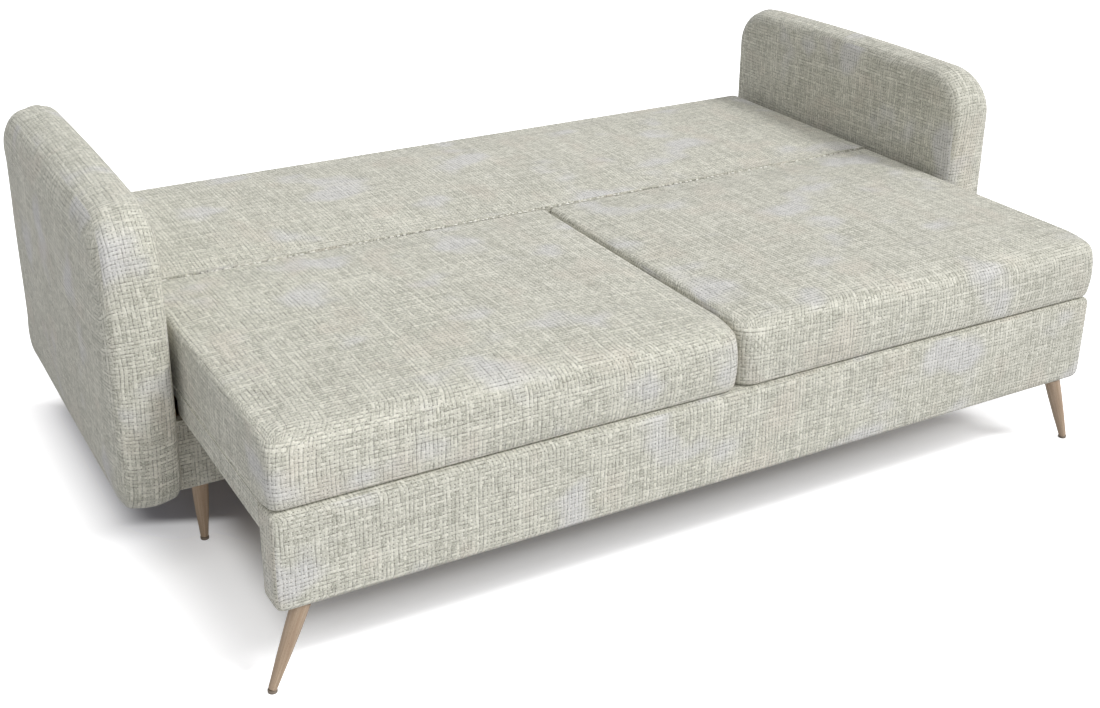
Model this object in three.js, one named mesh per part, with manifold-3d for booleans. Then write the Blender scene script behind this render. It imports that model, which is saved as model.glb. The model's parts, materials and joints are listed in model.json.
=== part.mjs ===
import * as THREE from 'three';
import { mergeVertices } from 'three/addons/utils/BufferGeometryUtils.js';
import Module from 'manifold-3d';

// Sofa bed, opened as a bed: the seat has swung forward over the base on two pairs of bent
// links, and the click-clack back lies flat behind it, between the arms.
// Millimetres, +X right, +Y to the rear, +Z up. The pieces are laid out from the rear of the
// arms (y = 0, the front is negative) and moved at the end to the middle of the floor area.

const wasm = await Module();
wasm.setup();

// Clearances
const fit = 0.3;              // faces that touch
const cutOverrun = 5;         // how far a cutting form runs past the face it opens
const weldTolerance = 0.001;  // vertices closer than this are one

// Arms
const clearWidth = 1954;
const armThickness = 126;
const armDepth = 883;
const armBottom = 134;
const armTop = 750;
const armTopCorner = 112;
const armBottomCorner = 57;
const armOuterEdge = 35;
const armInnerEdge = 12;
const armCrown = 6;
const armBulge = 4;
const armCoreThickness = 66;
const armCoreInset = 26;      // padding round the core's outline
const armInnerPadding = 30;   // padding on the side of the bed

// Base
const boardThickness = 18;
const railThickness = 20;
const floorBottom = 137;
const floorThickness = 12;
const clothThickness = 2.7;
const frontCoverTop = 292;
const rearCoverTop = 380;
const rearCoverSetback = 1;
const armRailTop = 308;
const wallTop = 296;
const dividerTop = 250;
const mechanismInset = 75;    // side of the bed to the inner faces of the walls

// Bed
const bedSideGap = 12;        // bed to arm, room for the hinge plates
const swingTravel = 485;
const seatDepth = 765;
const seatTop = 506;
const cushionBottom = 369;
const deckBottom = 349;
const skirtBottom = 315;      // cloth-covered boards that close the sides of the seat
const skirtThickness = 18;
const skirtLength = 433;      // from the apron to the front of the arms
const skirtCorner = 45;
const cushionGap = 6;
const seamGap = 4;
const backTop = 510;
const backRearSetback = 19;
const backBoardThickness = 22;
const backPadding = 10;       // cloth and padding round the board of the back
const dustCoverThickness = 2.4;

// Soft forms
const cushionEdge = 36;
const cushionUnderEdge = 16;
const cushionSeamEdge = 9;
const cushionFrontCorner = 18;
const cushionSeamCorner = 11;
const cushionCrown = 7;
const cushionDrawIn = 5;
const cushionBulge = 4;
const backEdge = 18;
const backSeamEdge = 12;
const backBulge = 3;
const backUnderEdge = 8;
const backRearCorner = 22;
const backSeamCorner = 13;
const backCrown = 7;

// Apron, the padded board at the front of the seat
const apronBottom = 171;
const apronThickness = 62;
const apronEdge = 12;
const apronCorner = 14;
const apronPadding = 7;
const apronClearance = 3;     // to the base front when the seat is back

// Boards under the deck
const deckRailBottom = 300;
const rearRailSetback = 19;
const mechanismGap = 16;      // cross rail ends to the mechanism

// Swing mechanism, a parallel linkage on each side
const swingReach = 76;        // degrees from upright to either end
const basePivotZ = 265;
const frontPivotSetback = 76; // front pivots behind the face of the base
const rearPivotInset = 40;    // rear seat pivots in front of the rear of the seat
const linkThickness = 6;
const linkHalfWidth = 13;
const linkBaseHub = 18;
const linkSeatHub = 15;
const linkBowShares = { first: [0.05, 0.2], second: [0.45, 0.13] };
const mechanismPlate = 3.2;
const sideGap = 0.4;          // between plates that turn past each other
const torsionBarRadius = 12.5;
const spigotRadius = 8;
const spigotLength = 16;
const pinRadius = 6;
const pinLength = 22;
const pinHeadRadius = 10;
const pinHeadThickness = 4;
const basePlateHeight = 50;
const basePlateRise = 25;     // top of the plate above its pivots
const basePlateEnd = 30;
const seatPlateHeight = 45;
const seatPlateEnd = 28;

// Click-clack hinge, drawn about its pivot
const hingeSetback = 40;      // behind the front of the back
const hingeDrop = 22;         // below the top of the back
const hingePlate = 3;
const hingeHub = 10;
const hubArcStep = 40;        // degrees between the points of a hub's outline
const backPlateHubArc = [70, 190];
const seatPlateHubArc = [-30, 170];
const hingeStudRadius = 7;
const hingeHeadRadius = 10;
const hingeHeadThickness = 2.5;
const ratchetRadius = 36;
const ratchetRoot = 27;
const notchHalfWidth = 4.8;
const ratchetStart = 204;     // degrees, from +Y towards +Z
const ratchetEnd = 320;
const engageAngle = 300;      // where the pawl meets the ratchet
const backPositions = [0, 26, 52, 78];  // degrees that the back is raised
const backPlateReach = 88;
const backPlateDrop = 34;
const backPlateFoot = 82;
const backPlateFootHeight = 21;
const seatPlateFootStart = 143;
const seatPlateFootEnd = 60;
const seatPlateFootHeight = 34;
const seatPlateWaist = [-8, -66];
const flangeWidth = 60;
const pawlPivot = [-21, -54];
const pawlStudRadius = 5;
const pawlHalfWidth = 6.5;
const pawlTipHalfWidth = 3.2;
const pawlTipGap = 1.2;       // tip to the bottom of the notch
const pawlShoulder = 45;      // radius at which the tip leaves the lever
const pawlSwing = 14;         // degrees from parked to engaged

// Legs
const legTopRadius = 17.5;
const legFootRadius = 8;
const legSwellShares = [[0.35, 0.44], [0.7, 0.8]];
const tenonRadius = 8;
const tenonLength = 11;
const glideThickness = 6;
const glideRadius = 9;
const glidePinRadius = 2.5;
const glidePinLength = 12;
const baseLegInset = 52;      // base leg axis to the arm
const baseLegSetback = 19;    // base leg axis to the face of the base
const baseLegLean = [0, 0];
const seatLegInset = 57.5;    // seat leg axis at the apron to the side of the bed
const seatLegSetback = 31;
const seatLegLean = [67, -1];

// Bolts that hold the arms
const boltRadius = 5;
const boltHeadRadius = 10;
const boltHeadThickness = 5;
const boltBite = 45;          // into the arm core
const boltHeight = 240;
const boltEndInset = 160;
const armBlockBottom = 160;   // block of the core that meets the side rail
const armBlockTop = 303;
const armBlockInset = 90;

// Facets
const arcSteps = 8;
const roundSides = 16;
const cushionSteps = { corner: 4, across: 12, along: 8, under: 3, top: 5, inner: 3 };
const backSteps = { corner: 4, across: 14, along: 6, under: 2, top: 5, inner: 3 };
const armSteps = { corner: 7, across: 5, along: 5, under: 4, top: 5, inner: 2 };
const apronSteps = { corner: 3, across: 10, along: 2, under: 1, top: 3, inner: 1 };
const linkSteps = 12;

// Places worked out from the sizes
const armInner = clearWidth / 2;
const bedHalf = armInner - bedSideGap;
const seatFront = -(armDepth + swingTravel);
const seatRear = seatFront + seatDepth;
const backFront = seatRear + seamGap;
const backRear = -backRearSetback;
const apronRear = seatFront + apronThickness;
const baseFace = apronRear + swingTravel + apronClearance;
const frontRailFace = baseFace + clothThickness + fit;
const frontRailRear = frontRailFace + railThickness;
const rearRailRear = -(rearCoverSetback + clothThickness + fit);
const rearRailFace = rearRailRear - railThickness;
const floorTop = floorBottom + floorThickness;
const standing = floorTop + fit;
const baseHalf = armInner - fit;
const wallInner = bedHalf - mechanismInset;
const wallOuter = wallInner + boardThickness;
const mechanismOuter = wallInner - fit;
const mechanismInner = mechanismOuter - mechanismPlate;
const linkOuter = mechanismInner - sideGap;
const linkInner = linkOuter - linkThickness;
const crossHalf = linkInner - pinHeadThickness - mechanismGap;
const reach = THREE.MathUtils.degToRad(swingReach);
const linkLength = swingTravel / 2 / Math.sin(reach);
const linkRise = linkLength * Math.cos(reach);
const seatPivotZ = basePivotZ + linkRise;
const basePivots = [baseFace + frontPivotSetback, seatRear - rearPivotInset + swingTravel / 2];
const seatPivots = basePivots.map((y) => y - swingTravel / 2);
const hingeY = backFront + hingeSetback;
const hingeZ = backTop - hingeDrop;
const backPlateIn = bedHalf + fit;
const backPlateOut = backPlateIn + hingePlate;
const seatPlateIn = backPlateOut + sideGap;
const seatPlateOut = seatPlateIn + hingePlate;
const dustCoverBottom = rearCoverTop + fit;
const backBottom = dustCoverBottom + dustCoverThickness + fit;
const railBottom = wallTop + fit;
const railTop = deckBottom - fit;

// Materials
const cloth = new THREE.MeshStandardMaterial({ color: 0xc6c4b6, roughness: 0.95, metalness: 0 });
const lining = new THREE.MeshStandardMaterial({ color: 0x3b3b3a, roughness: 0.95, metalness: 0 });
const timber = new THREE.MeshStandardMaterial({ color: 0xc9ab7e, roughness: 0.75, metalness: 0 });
const beech = new THREE.MeshStandardMaterial({ color: 0xb08f72, roughness: 0.5, metalness: 0 });
const steel = new THREE.MeshStandardMaterial({ color: 0x55585c, roughness: 0.45, metalness: 0.9 });
const zinc = new THREE.MeshStandardMaterial({ color: 0xb4b7ba, roughness: 0.35, metalness: 1 });
const plastic = new THREE.MeshStandardMaterial({ color: 0x2e2b28, roughness: 0.6, metalness: 0 });

// Groups
const sofaBed = new THREE.Group();
const base = new THREE.Group();
const seat = new THREE.Group();
const back = new THREE.Group();
const swing = new THREE.Group();
sofaBed.add(base, seat, back, swing);

const sides = [['left', -1], ['right', 1]];

function add(group, name, material, geometry) {
  const mesh = new THREE.Mesh(geometry, material);
  mesh.name = name;
  group.add(mesh);
  return mesh;
}

// Solids for joining and cutting
function solid(geometry) {
  const bare = geometry.clone();
  for (const attribute of Object.keys(bare.attributes)) {
    if (attribute !== 'position') bare.deleteAttribute(attribute);
  }
  const merged = mergeVertices(bare, weldTolerance);
  return new wasm.Manifold(new wasm.Mesh({
    numProp: 3,
    vertProperties: Float32Array.from(merged.attributes.position.array),
    triVerts: Uint32Array.from(merged.index.array),
  }));
}

function surface(body) {
  const { vertProperties, triVerts } = body.getMesh();
  const geometry = new THREE.BufferGeometry();
  geometry.setAttribute('position', new THREE.BufferAttribute(Float32Array.from(vertProperties), 3));
  geometry.setIndex(new THREE.BufferAttribute(Uint32Array.from(triVerts), 1));
  geometry.computeVertexNormals();
  return geometry;
}

const join = (...parts) => surface(parts.map(solid).reduce((whole, part) => whole.add(part)));
const cut = (whole, ...tools) => surface(tools.map(solid).reduce((rest, tool) => rest.subtract(tool), solid(whole)));
const keep = (whole, part) => surface(solid(whole).intersect(solid(part)));

// A board between two corners
function board([x0, x1], [y0, y1], [z0, z1]) {
  const geometry = new THREE.BoxGeometry(x1 - x0, y1 - y0, z1 - z0);
  return geometry.translate((x0 + x1) / 2, (y0 + y1) / 2, (z0 + z1) / 2);
}

// A range along X on the left or the right side
const beside = (inner, outer, side) => (side > 0 ? [inner, outer] : [-outer, -inner]);

// An outline in the YZ plane, cut from sheet between two distances from the middle
const sheetTurn = new THREE.Matrix4().makeBasis(
  new THREE.Vector3(0, 1, 0), new THREE.Vector3(0, 0, 1), new THREE.Vector3(1, 0, 0));

function sheet(outline, inner, outer, side = 1) {
  const geometry = new THREE.ExtrudeGeometry(outline, {
    depth: outer - inner, bevelEnabled: false, curveSegments: arcSteps,
  });
  return geometry.applyMatrix4(sheetTurn).translate(beside(inner, outer, side)[0], 0, 0);
}

function rectangle([y0, y1], [z0, z1]) {
  return new THREE.Shape([[y0, z0], [y1, z0], [y1, z1], [y0, z1]].map(([y, z]) => new THREE.Vector2(y, z)));
}

function drill(outline, y, z, radius) {
  outline.holes.push(new THREE.Path().absarc(y, z, radius, 0, Math.PI * 2, true));
  return outline;
}

// A round bar along X between two distances from the middle
function bar(radius, inner, outer, y, z, side = 1) {
  const geometry = new THREE.CylinderGeometry(radius, radius, outer - inner, roundSides).rotateZ(Math.PI / 2);
  const [x0, x1] = beside(inner, outer, side);
  return geometry.translate((x0 + x1) / 2, y, z);
}

// A turned fastener with a head, pointing outwards along X from a distance from the middle
function fastener([headRadius, headThickness], [shankRadius, shankLength], from, y, z, side) {
  const profile = [[0, 0], [headRadius, 0], [headRadius, headThickness], [shankRadius, headThickness],
    [shankRadius, headThickness + shankLength], [0, headThickness + shankLength]];
  const geometry = new THREE.LatheGeometry(profile.map(([r, h]) => new THREE.Vector2(r, h)), roundSides);
  return geometry.rotateZ(-side * Math.PI / 2).translate(side * from, y, z);
}

const polar = (radius, degrees) => {
  const angle = THREE.MathUtils.degToRad(degrees);
  return [radius * Math.cos(angle), radius * Math.sin(angle)];
};

// Points of a rounded rectangle, counter-clockwise. Each has its outward normal and a pull that
// grows from 0 at the corners to 1 in the middle of a straight side.
function roundedOutline(halfU, halfV, lowCorner, highCorner, steps) {
  const corners = [[1, 1, highCorner], [-1, 1, highCorner], [-1, -1, lowCorner], [1, -1, lowCorner]]
    .map(([signU, signV, radius]) => [signU * (halfU - radius), signV * (halfV - radius), radius]);
  const points = [];
  corners.forEach(([u, v, radius], quarter) => {
    for (let step = 0; step <= steps.corner; step++) {
      const angle = (quarter + step / steps.corner) * Math.PI / 2;
      const [nu, nv] = [Math.cos(angle), Math.sin(angle)];
      points.push({ u: u + radius * nu, v: v + radius * nv, nu, nv, pull: 0 });
    }
    const from = points[points.length - 1];
    const [nextU, nextV, nextRadius] = corners[(quarter + 1) % corners.length];
    const count = quarter % 2 === 0 ? steps.across : steps.along;
    for (let step = 1; step < count; step++) {
      const t = step / count;
      points.push({
        u: THREE.MathUtils.lerp(from.u, nextU + nextRadius * from.nu, t),
        v: THREE.MathUtils.lerp(from.v, nextV + nextRadius * from.nv, t),
        nu: from.nu, nv: from.nv, pull: 4 * t * (1 - t),
      });
    }
  });
  return points;
}

// A padded form over a rounded rectangle: rounded edges, sides that bulge at mid height and are
// drawn in between the corners, and a crowned face. It rises from w = 0 to w = depth.
function pillow({ halfU, halfV, depth, lowCorner, highCorner, edge, seamEdge = edge, underEdge,
  crown = 0, drawIn = 0, bulge = 0, steps }) {
  const outline = roundedOutline(halfU, halfV, lowCorner, highCorner, steps);
  const positions = [];
  const index = [];
  const topEdge = (point) => edge * point.nu ** 2 + (point.v > 0 ? seamEdge : edge) * point.nv ** 2;
  const place = (point, share, edgeU, edgeV, tuck) => {
    const u = point.u * (1 - (share * edgeU + tuck) / halfU) - point.nu * point.pull * drawIn;
    const v = point.v * (1 - (share * edgeV + tuck) / halfV) - point.nv * point.pull * drawIn;
    return [u, v];
  };
  const swell = (u, v) => crown * (1 - (u / halfU) ** 2) * (1 - (v / halfV) ** 2);
  const underRing = (turn) => outline.map((point) => {
    const [u, v] = place(point, 1 - Math.sin(turn), underEdge, underEdge, bulge);
    return [u, v, underEdge * (1 - Math.cos(turn))];
  });
  const topRing = (turn, shrink) => outline.map((point) => {
    const [u, v] = place(point, 1 - Math.cos(turn), edge, point.v > 0 ? seamEdge : edge, bulge);
    const w = depth - crown - topEdge(point) * (1 - Math.sin(turn));
    return [u * shrink, v * shrink, w + swell(u * shrink, v * shrink) * Math.sin(turn)];
  });
  const rings = [];
  for (let step = 0; step <= steps.under; step++) rings.push(underRing(step / steps.under * Math.PI / 2));
  rings.push(outline.map((point) => [...place(point, 0, edge, edge, 0), (depth + underEdge - edge) / 2]));
  for (let step = 0; step <= steps.top; step++) rings.push(topRing(step / steps.top * Math.PI / 2, 1));
  for (let step = 1; step <= steps.inner; step++) rings.push(topRing(Math.PI / 2, 1 - step / (steps.inner + 1)));
  rings.forEach((ring) => ring.forEach((point) => positions.push(...point)));
  const count = outline.length;
  const under = rings.length * count;
  const crest = under + 1;
  positions.push(0, 0, 0, 0, 0, depth);
  for (let i = 0; i < count; i++) {
    const j = (i + 1) % count;
    index.push(under, j, i);
    for (let low = 0; low < under - count; low += count) {
      const high = low + count;
      index.push(low + i, low + j, high + j, low + i, high + j, high + i);
    }
    index.push(crest, under - count + i, under - count + j);
  }
  const geometry = new THREE.BufferGeometry();
  geometry.setAttribute('position', new THREE.Float32BufferAttribute(positions, 3));
  geometry.setIndex(index);
  geometry.computeVertexNormals();
  return geometry;
}

function turned(geometry, u, v, w) {
  return geometry.applyMatrix4(new THREE.Matrix4().makeBasis(
    new THREE.Vector3(...u), new THREE.Vector3(...v), new THREE.Vector3(...w)));
}

// Base
function floorBoard() {
  return board([-baseHalf, baseHalf], [frontRailFace, rearRailRear], [floorBottom, floorTop]);
}

// Cloth over a rail: down its outer face and over its top
function railCover(face, wrapEnd, top) {
  const inward = Math.sign(wrapEnd - face);
  const inner = face + inward * clothThickness;
  const outline = [[face, floorBottom], [face, top], [wrapEnd, top], [wrapEnd, top - clothThickness],
    [inner, top - clothThickness], [inner, floorBottom]];
  return sheet(new THREE.Shape(outline.map(([y, z]) => new THREE.Vector2(y, z))), -baseHalf, baseHalf);
}

const boltPlaces = [['front', -armDepth + boltEndInset], ['rear', -boltEndInset]];

function armRail(side) {
  const outline = rectangle([frontRailRear + fit, rearRailFace - fit], [standing, armRailTop]);
  boltPlaces.forEach(([, y]) => drill(outline, y, boltHeight, boltRadius + fit));
  return sheet(outline, baseHalf - boardThickness, baseHalf, side);
}

function boxWall(side) {
  const outline = rectangle([frontRailRear + fit, rearRailFace - fit], [standing, wallTop]);
  basePivots.forEach((y) => drill(outline, y, basePivotZ, spigotRadius + fit));
  return sheet(outline, wallInner, wallOuter, side);
}

function buildBase() {
  const railHeight = [standing, frontCoverTop - clothThickness - fit];
  const rearHeight = [standing, rearCoverTop - clothThickness - fit];
  const across = [-baseHalf, baseHalf];
  add(base, 'base_floor', timber, withTenonHoles(floorBoard()));
  add(base, 'base_front_rail', timber, board(across, [frontRailFace, frontRailRear], railHeight));
  add(base, 'base_rear_rail', timber, board(across, [rearRailFace, rearRailRear], rearHeight));
  add(base, 'base_front_cover', cloth, railCover(baseFace, frontRailRear, frontCoverTop));
  add(base, 'base_rear_cover', cloth, railCover(-rearCoverSetback, rearRailFace, rearCoverTop));
  add(base, 'box_divider', timber, board(
    [-boardThickness / 2, boardThickness / 2], [frontRailRear + fit, rearRailFace - fit], [standing, dividerTop]));
  for (const [word, side] of sides) {
    add(base, `arm_rail_${word}`, timber, armRail(side));
    add(base, `box_wall_${word}`, timber, boxWall(side));
  }
}

// Arms: a board core inside a padded cover. The core's block meets the side rail through an
// opening in the padding, below the bed.
function armOutline(inset) {
  const halfLength = armDepth / 2 - inset;
  const halfHeight = (armTop - armBottom) / 2 - inset;
  const points = roundedOutline(halfLength, halfHeight, armBottomCorner - inset, armTopCorner - inset, armSteps);
  return new THREE.Shape(points.map(({ u, v }) => new THREE.Vector2(u - armDepth / 2, v + (armTop + armBottom) / 2)));
}

function armCore(side, grow, overrun) {
  const start = armInner + armInnerPadding;
  const panel = sheet(armOutline(armCoreInset - grow), start - grow, start + armCoreThickness + grow, side);
  const block = rectangle(
    [-armDepth + armBlockInset - grow, -armBlockInset + grow], [armBlockBottom - grow, armBlockTop + grow]);
  return join(panel, sheet(block, armInner - overrun, start + cutOverrun, side));
}

function armPad(side) {
  const form = pillow({
    halfU: armDepth / 2, halfV: (armTop - armBottom) / 2, depth: armThickness,
    lowCorner: armBottomCorner, highCorner: armTopCorner, edge: armOuterEdge, underEdge: armInnerEdge,
    crown: armCrown, bulge: armBulge, steps: armSteps,
  });
  const placed = turned(form, [0, side, 0], [0, 0, 1], [side, 0, 0])
    .translate(side * armInner, -armDepth / 2, (armTop + armBottom) / 2);
  return cut(placed, armCore(side, fit, cutOverrun));
}

function buildArms() {
  for (const [word, side] of sides) {
    const headStart = baseHalf - boardThickness - fit - boltHeadThickness;
    const shank = armInner + boltBite - headStart - boltHeadThickness;
    const holes = boltPlaces.map(([, y]) => bar(
      boltRadius + fit, armInner - cutOverrun, armInner + boltBite + fit, y, boltHeight, side));
    add(base, `arm_core_${word}`, timber, cut(armCore(side, 0, 0), ...holes));
    add(base, `arm_pad_${word}`, cloth, armPad(side));
    for (const [place, y] of boltPlaces) {
      add(base, `arm_bolt_${place}_${word}`, zinc, fastener(
        [boltHeadRadius, boltHeadThickness], [boltRadius, shank], headStart, y, boltHeight, side));
    }
  }
}

// Legs: a turned taper with a tenon, leaning by the given offset of its foot, sawn level at
// both ends. The middle of its top face is the origin.
function legAxis([leanX, leanY], height) {
  return new THREE.Vector3(-leanX, -leanY, height).normalize();
}

function alongAxis(geometry, axis) {
  const turn = new THREE.Quaternion().setFromUnitVectors(new THREE.Vector3(0, 0, 1), axis);
  return geometry.rotateX(Math.PI / 2).applyQuaternion(turn);
}

function tenon(lean, height, grow) {
  const geometry = new THREE.CylinderGeometry(
    tenonRadius + grow, tenonRadius + grow, 2 * (tenonLength + grow), roundSides);
  return alongAxis(geometry, legAxis(lean, height));
}

function leg(lean, height) {
  const foot = new THREE.Vector3(lean[0], lean[1], -height);
  const length = foot.length();
  const slope = (legTopRadius - legFootRadius) / length;
  const profile = [[0, -length - cutOverrun], [legFootRadius - slope * cutOverrun, -length - cutOverrun]];
  legSwellShares.forEach(([along, swell]) => profile.push(
    [THREE.MathUtils.lerp(legFootRadius, legTopRadius, swell), (along - 1) * length]));
  profile.push([legTopRadius, cutOverrun], [0, cutOverrun]);
  const cone = alongAxis(new THREE.LatheGeometry(
    profile.map(([r, h]) => new THREE.Vector2(r, h)), roundSides), legAxis(lean, height));
  const spread = foot.length() * 2;
  const gap = glideThickness + fit;
  const slab = board([-spread, spread], [-spread, spread], [gap - height, 0]);
  const pinHole = new THREE.CylinderGeometry(
    glidePinRadius + fit, glidePinRadius + fit, 2 * (glidePinLength + fit), roundSides).rotateX(Math.PI / 2);
  const [pinX, pinY] = glideOffset(lean, height);
  return cut(join(keep(cone, slab), tenon(lean, height, 0)), pinHole.translate(pinX, pinY, gap - height));
}

function glideOffset(lean, height) {
  const share = 1 - (glideThickness + fit) / height;
  return lean.map((offset) => offset * share);
}

function glide() {
  const profile = [[0, 0], [glideRadius, 0], [glideRadius, glideThickness], [glidePinRadius, glideThickness],
    [glidePinRadius, glideThickness + glidePinLength], [0, glideThickness + glidePinLength]];
  return new THREE.LatheGeometry(profile.map(([r, h]) => new THREE.Vector2(r, h)), roundSides).rotateX(Math.PI / 2);
}

const baseLegHeight = floorBottom - fit;
const seatLegHeight = apronBottom - fit;
const baseLegX = armInner - baseLegInset;
const baseLegPlaces = [['front', baseFace + baseLegSetback], ['rear', -rearCoverSetback - baseLegSetback]];
const seatLegX = bedHalf - seatLegInset;
const seatLegY = seatFront + seatLegSetback;
const leanTo = (side, [x, y]) => [side * x, y];

function withTenonHoles(geometry) {
  const holes = sides.flatMap(([, side]) => baseLegPlaces.map(([, y]) =>
    tenon(leanTo(side, baseLegLean), baseLegHeight, fit).translate(side * baseLegX, y, baseLegHeight)));
  return cut(geometry, ...holes);
}

function addLeg(group, name, lean, height, x, y) {
  add(group, `${name}_leg`, beech, leg(lean, height)).position.set(x, y, height);
  const [offsetX, offsetY] = glideOffset(lean, height);
  add(group, `${name}_glide`, plastic, glide()).position.set(x + offsetX, y + offsetY, 0);
}

function buildLegs() {
  for (const [word, side] of sides) {
    for (const [place, y] of baseLegPlaces) {
      addLeg(base, `base_${place}_${word}`, leanTo(side, baseLegLean), baseLegHeight, side * baseLegX, y);
    }
    addLeg(seat, `seat_${word}`, leanTo(side, seatLegLean), seatLegHeight, side * seatLegX, seatLegY);
  }
}

// Seat: a covered deck whose sides come down as far as the arms, over a frame of rails
const behindApron = apronRear + fit;
const deckTop = cushionBottom - fit;

function deckSkirt(side) {
  const end = behindApron + skirtLength;
  const outline = new THREE.Shape();
  outline.moveTo(behindApron, deckTop);
  outline.lineTo(behindApron, skirtBottom);
  outline.absarc(end - skirtCorner, skirtBottom + skirtCorner, skirtCorner, -Math.PI / 2, 0, false);
  outline.lineTo(end, deckTop);
  return sheet(outline, bedHalf - skirtThickness, bedHalf, side);
}

function seatDeck() {
  const deck = board([-bedHalf, bedHalf], [behindApron, seatRear], [deckBottom, deckTop]);
  return join(deck, deckSkirt(-1), deckSkirt(1));
}

function buildSeat() {
  const railZ = [deckRailBottom, railTop];
  const rearRailY = seatRear - rearRailSetback;
  add(seat, 'seat_deck', cloth, seatDeck());
  add(seat, 'seat_front_rail', timber, board(
    [-wallInner + fit, wallInner - fit], [behindApron, behindApron + railThickness], railZ));
  add(seat, 'seat_rear_rail', timber, board(
    [-crossHalf, crossHalf], [rearRailY - railThickness, rearRailY], railZ));
  add(seat, 'seat_centre_rail', timber, board([-boardThickness / 2, boardThickness / 2],
    [behindApron + railThickness + fit, rearRailY - railThickness - fit], railZ));
  for (const [word, side] of sides) {
    const outline = rectangle([behindApron, rearRailY], [railBottom, railTop]);
    seatPivots.forEach((y) => drill(outline, y, seatPivotZ, pinRadius + fit));
    add(seat, `seat_side_rail_${word}`, timber, sheet(outline, wallInner, wallOuter, side));
    add(seat, `seat_cushion_${word}`, cloth, seatCushion(side));
  }
}

function seatCushion(side) {
  const halfWidth = (bedHalf - cushionGap / 2) / 2;
  const form = pillow({
    halfU: halfWidth, halfV: seatDepth / 2, depth: seatTop + cushionCrown - cushionBottom,
    lowCorner: cushionFrontCorner, highCorner: cushionSeamCorner, edge: cushionEdge, seamEdge: cushionSeamEdge,
    underEdge: cushionUnderEdge, crown: cushionCrown, drawIn: cushionDrawIn, bulge: cushionBulge,
    steps: cushionSteps,
  });
  return form.translate(side * (bedHalf - halfWidth), seatFront + seatDepth / 2, cushionBottom);
}

// The apron's core board shows at its open rear, its padding covers the rest.
function apronCore(grow, overrun) {
  const half = bedHalf - apronPadding + grow;
  return board([-half, half], [seatFront + apronPadding - grow, apronRear + overrun],
    [apronBottom + apronPadding - grow, cushionBottom - apronPadding + grow]);
}

function buildApron() {
  const legTenons = (grow) => sides.map(([, side]) =>
    tenon(leanTo(side, seatLegLean), seatLegHeight, grow).translate(side * seatLegX, seatLegY, seatLegHeight));
  const form = pillow({
    halfU: bedHalf, halfV: (cushionBottom - fit - apronBottom) / 2, depth: apronThickness,
    lowCorner: apronCorner, highCorner: apronEdge, edge: apronEdge, underEdge: clothThickness, steps: apronSteps,
  });
  const placed = turned(form, [1, 0, 0], [0, 0, 1], [0, -1, 0])
    .translate(0, apronRear, (cushionBottom - fit + apronBottom) / 2);
  add(seat, 'apron_core', timber, cut(apronCore(0, 0), ...legTenons(fit)));
  add(seat, 'apron_cover', cloth, cut(placed, apronCore(fit, cutOverrun), ...legTenons(fit)));
}

// Back: a board let into the underside of the padding, closed below by the dust cover
function backBoard(grow, overrun) {
  const half = bedHalf - backPadding + grow;
  return board([-half, half], [backFront + backPadding - grow, backRear - backPadding + grow],
    [backBottom - overrun, backBottom + backBoardThickness + grow]);
}

function backPad() {
  const depth = backRear - backFront;
  const form = pillow({
    halfU: bedHalf, halfV: depth / 2, depth: backTop + backCrown - backBottom,
    lowCorner: backRearCorner, highCorner: backSeamCorner, edge: backEdge, seamEdge: backSeamEdge,
    underEdge: backUnderEdge, crown: backCrown, drawIn: cushionDrawIn, bulge: backBulge, steps: backSteps,
  });
  const placed = turned(form, [-1, 0, 0], [0, -1, 0], [0, 0, 1]).translate(0, backFront + depth / 2, backBottom);
  return cut(placed, backBoard(fit, cutOverrun));
}

function buildBack() {
  const hem = (backPadding + backBulge + backUnderEdge) / 2;
  add(back, 'back_board', timber, backBoard(0, 0));
  add(back, 'back_pad', cloth, backPad());
  add(back, 'back_dust_cover', lining, board([-bedHalf + 2 * hem, bedHalf - 2 * hem],
    [backFront + 2 * hem, backRear - hem], [dustCoverBottom, dustCoverBottom + dustCoverThickness]));
}

// Swing frames: two bent links joined by a torsion bar, whose ends turn in the base
function bentLink(y, side) {
  const start = new THREE.Vector2(y, basePivotZ);
  const along = new THREE.Vector2(-swingTravel / 2, linkRise);
  const upward = new THREE.Vector2(along.y, -along.x);
  const at = ([s, h]) => start.clone().addScaledVector(along, s).addScaledVector(upward, h);
  const end = at([1, 0]);
  const spine = new THREE.CubicBezierCurve(start, at(linkBowShares.first), at(linkBowShares.second), end);
  const edges = [[], []];
  for (let step = 0; step <= linkSteps; step++) {
    const point = spine.getPoint(step / linkSteps);
    const tangent = spine.getTangent(step / linkSteps);
    const offset = new THREE.Vector2(-tangent.y, tangent.x).multiplyScalar(linkHalfWidth);
    edges[0].push(point.clone().add(offset));
    edges[1].unshift(point.clone().sub(offset));
  }
  const strip = sheet(new THREE.Shape([...edges[0], ...edges[1]]), linkInner, linkOuter, side);
  const baseHub = bar(linkBaseHub, linkInner, linkOuter, y, basePivotZ, side);
  const seatHub = bar(linkSeatHub, linkInner, linkOuter, end.x, end.y, side);
  const hole = bar(pinRadius + fit, linkInner - cutOverrun, linkOuter + cutOverrun, end.x, end.y, side);
  return cut(join(strip, baseHub, seatHub), hole);
}

function swingFrame(y) {
  const barHalf = mechanismOuter + spigotLength;
  return join(
    bentLink(y, -1), bentLink(y, 1),
    bar(torsionBarRadius, -linkOuter, linkOuter, y, basePivotZ),
    bar(spigotRadius, -barHalf, barHalf, y, basePivotZ));
}

function pivotRail(pivots, end, [z0, z1], pivotZ, radius, side) {
  const outline = rectangle([pivots[0] - end, pivots[1] + end], [z0, z1]);
  pivots.forEach((y) => drill(outline, y, pivotZ, radius + fit));
  return sheet(outline, mechanismInner, mechanismOuter, side);
}

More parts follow.
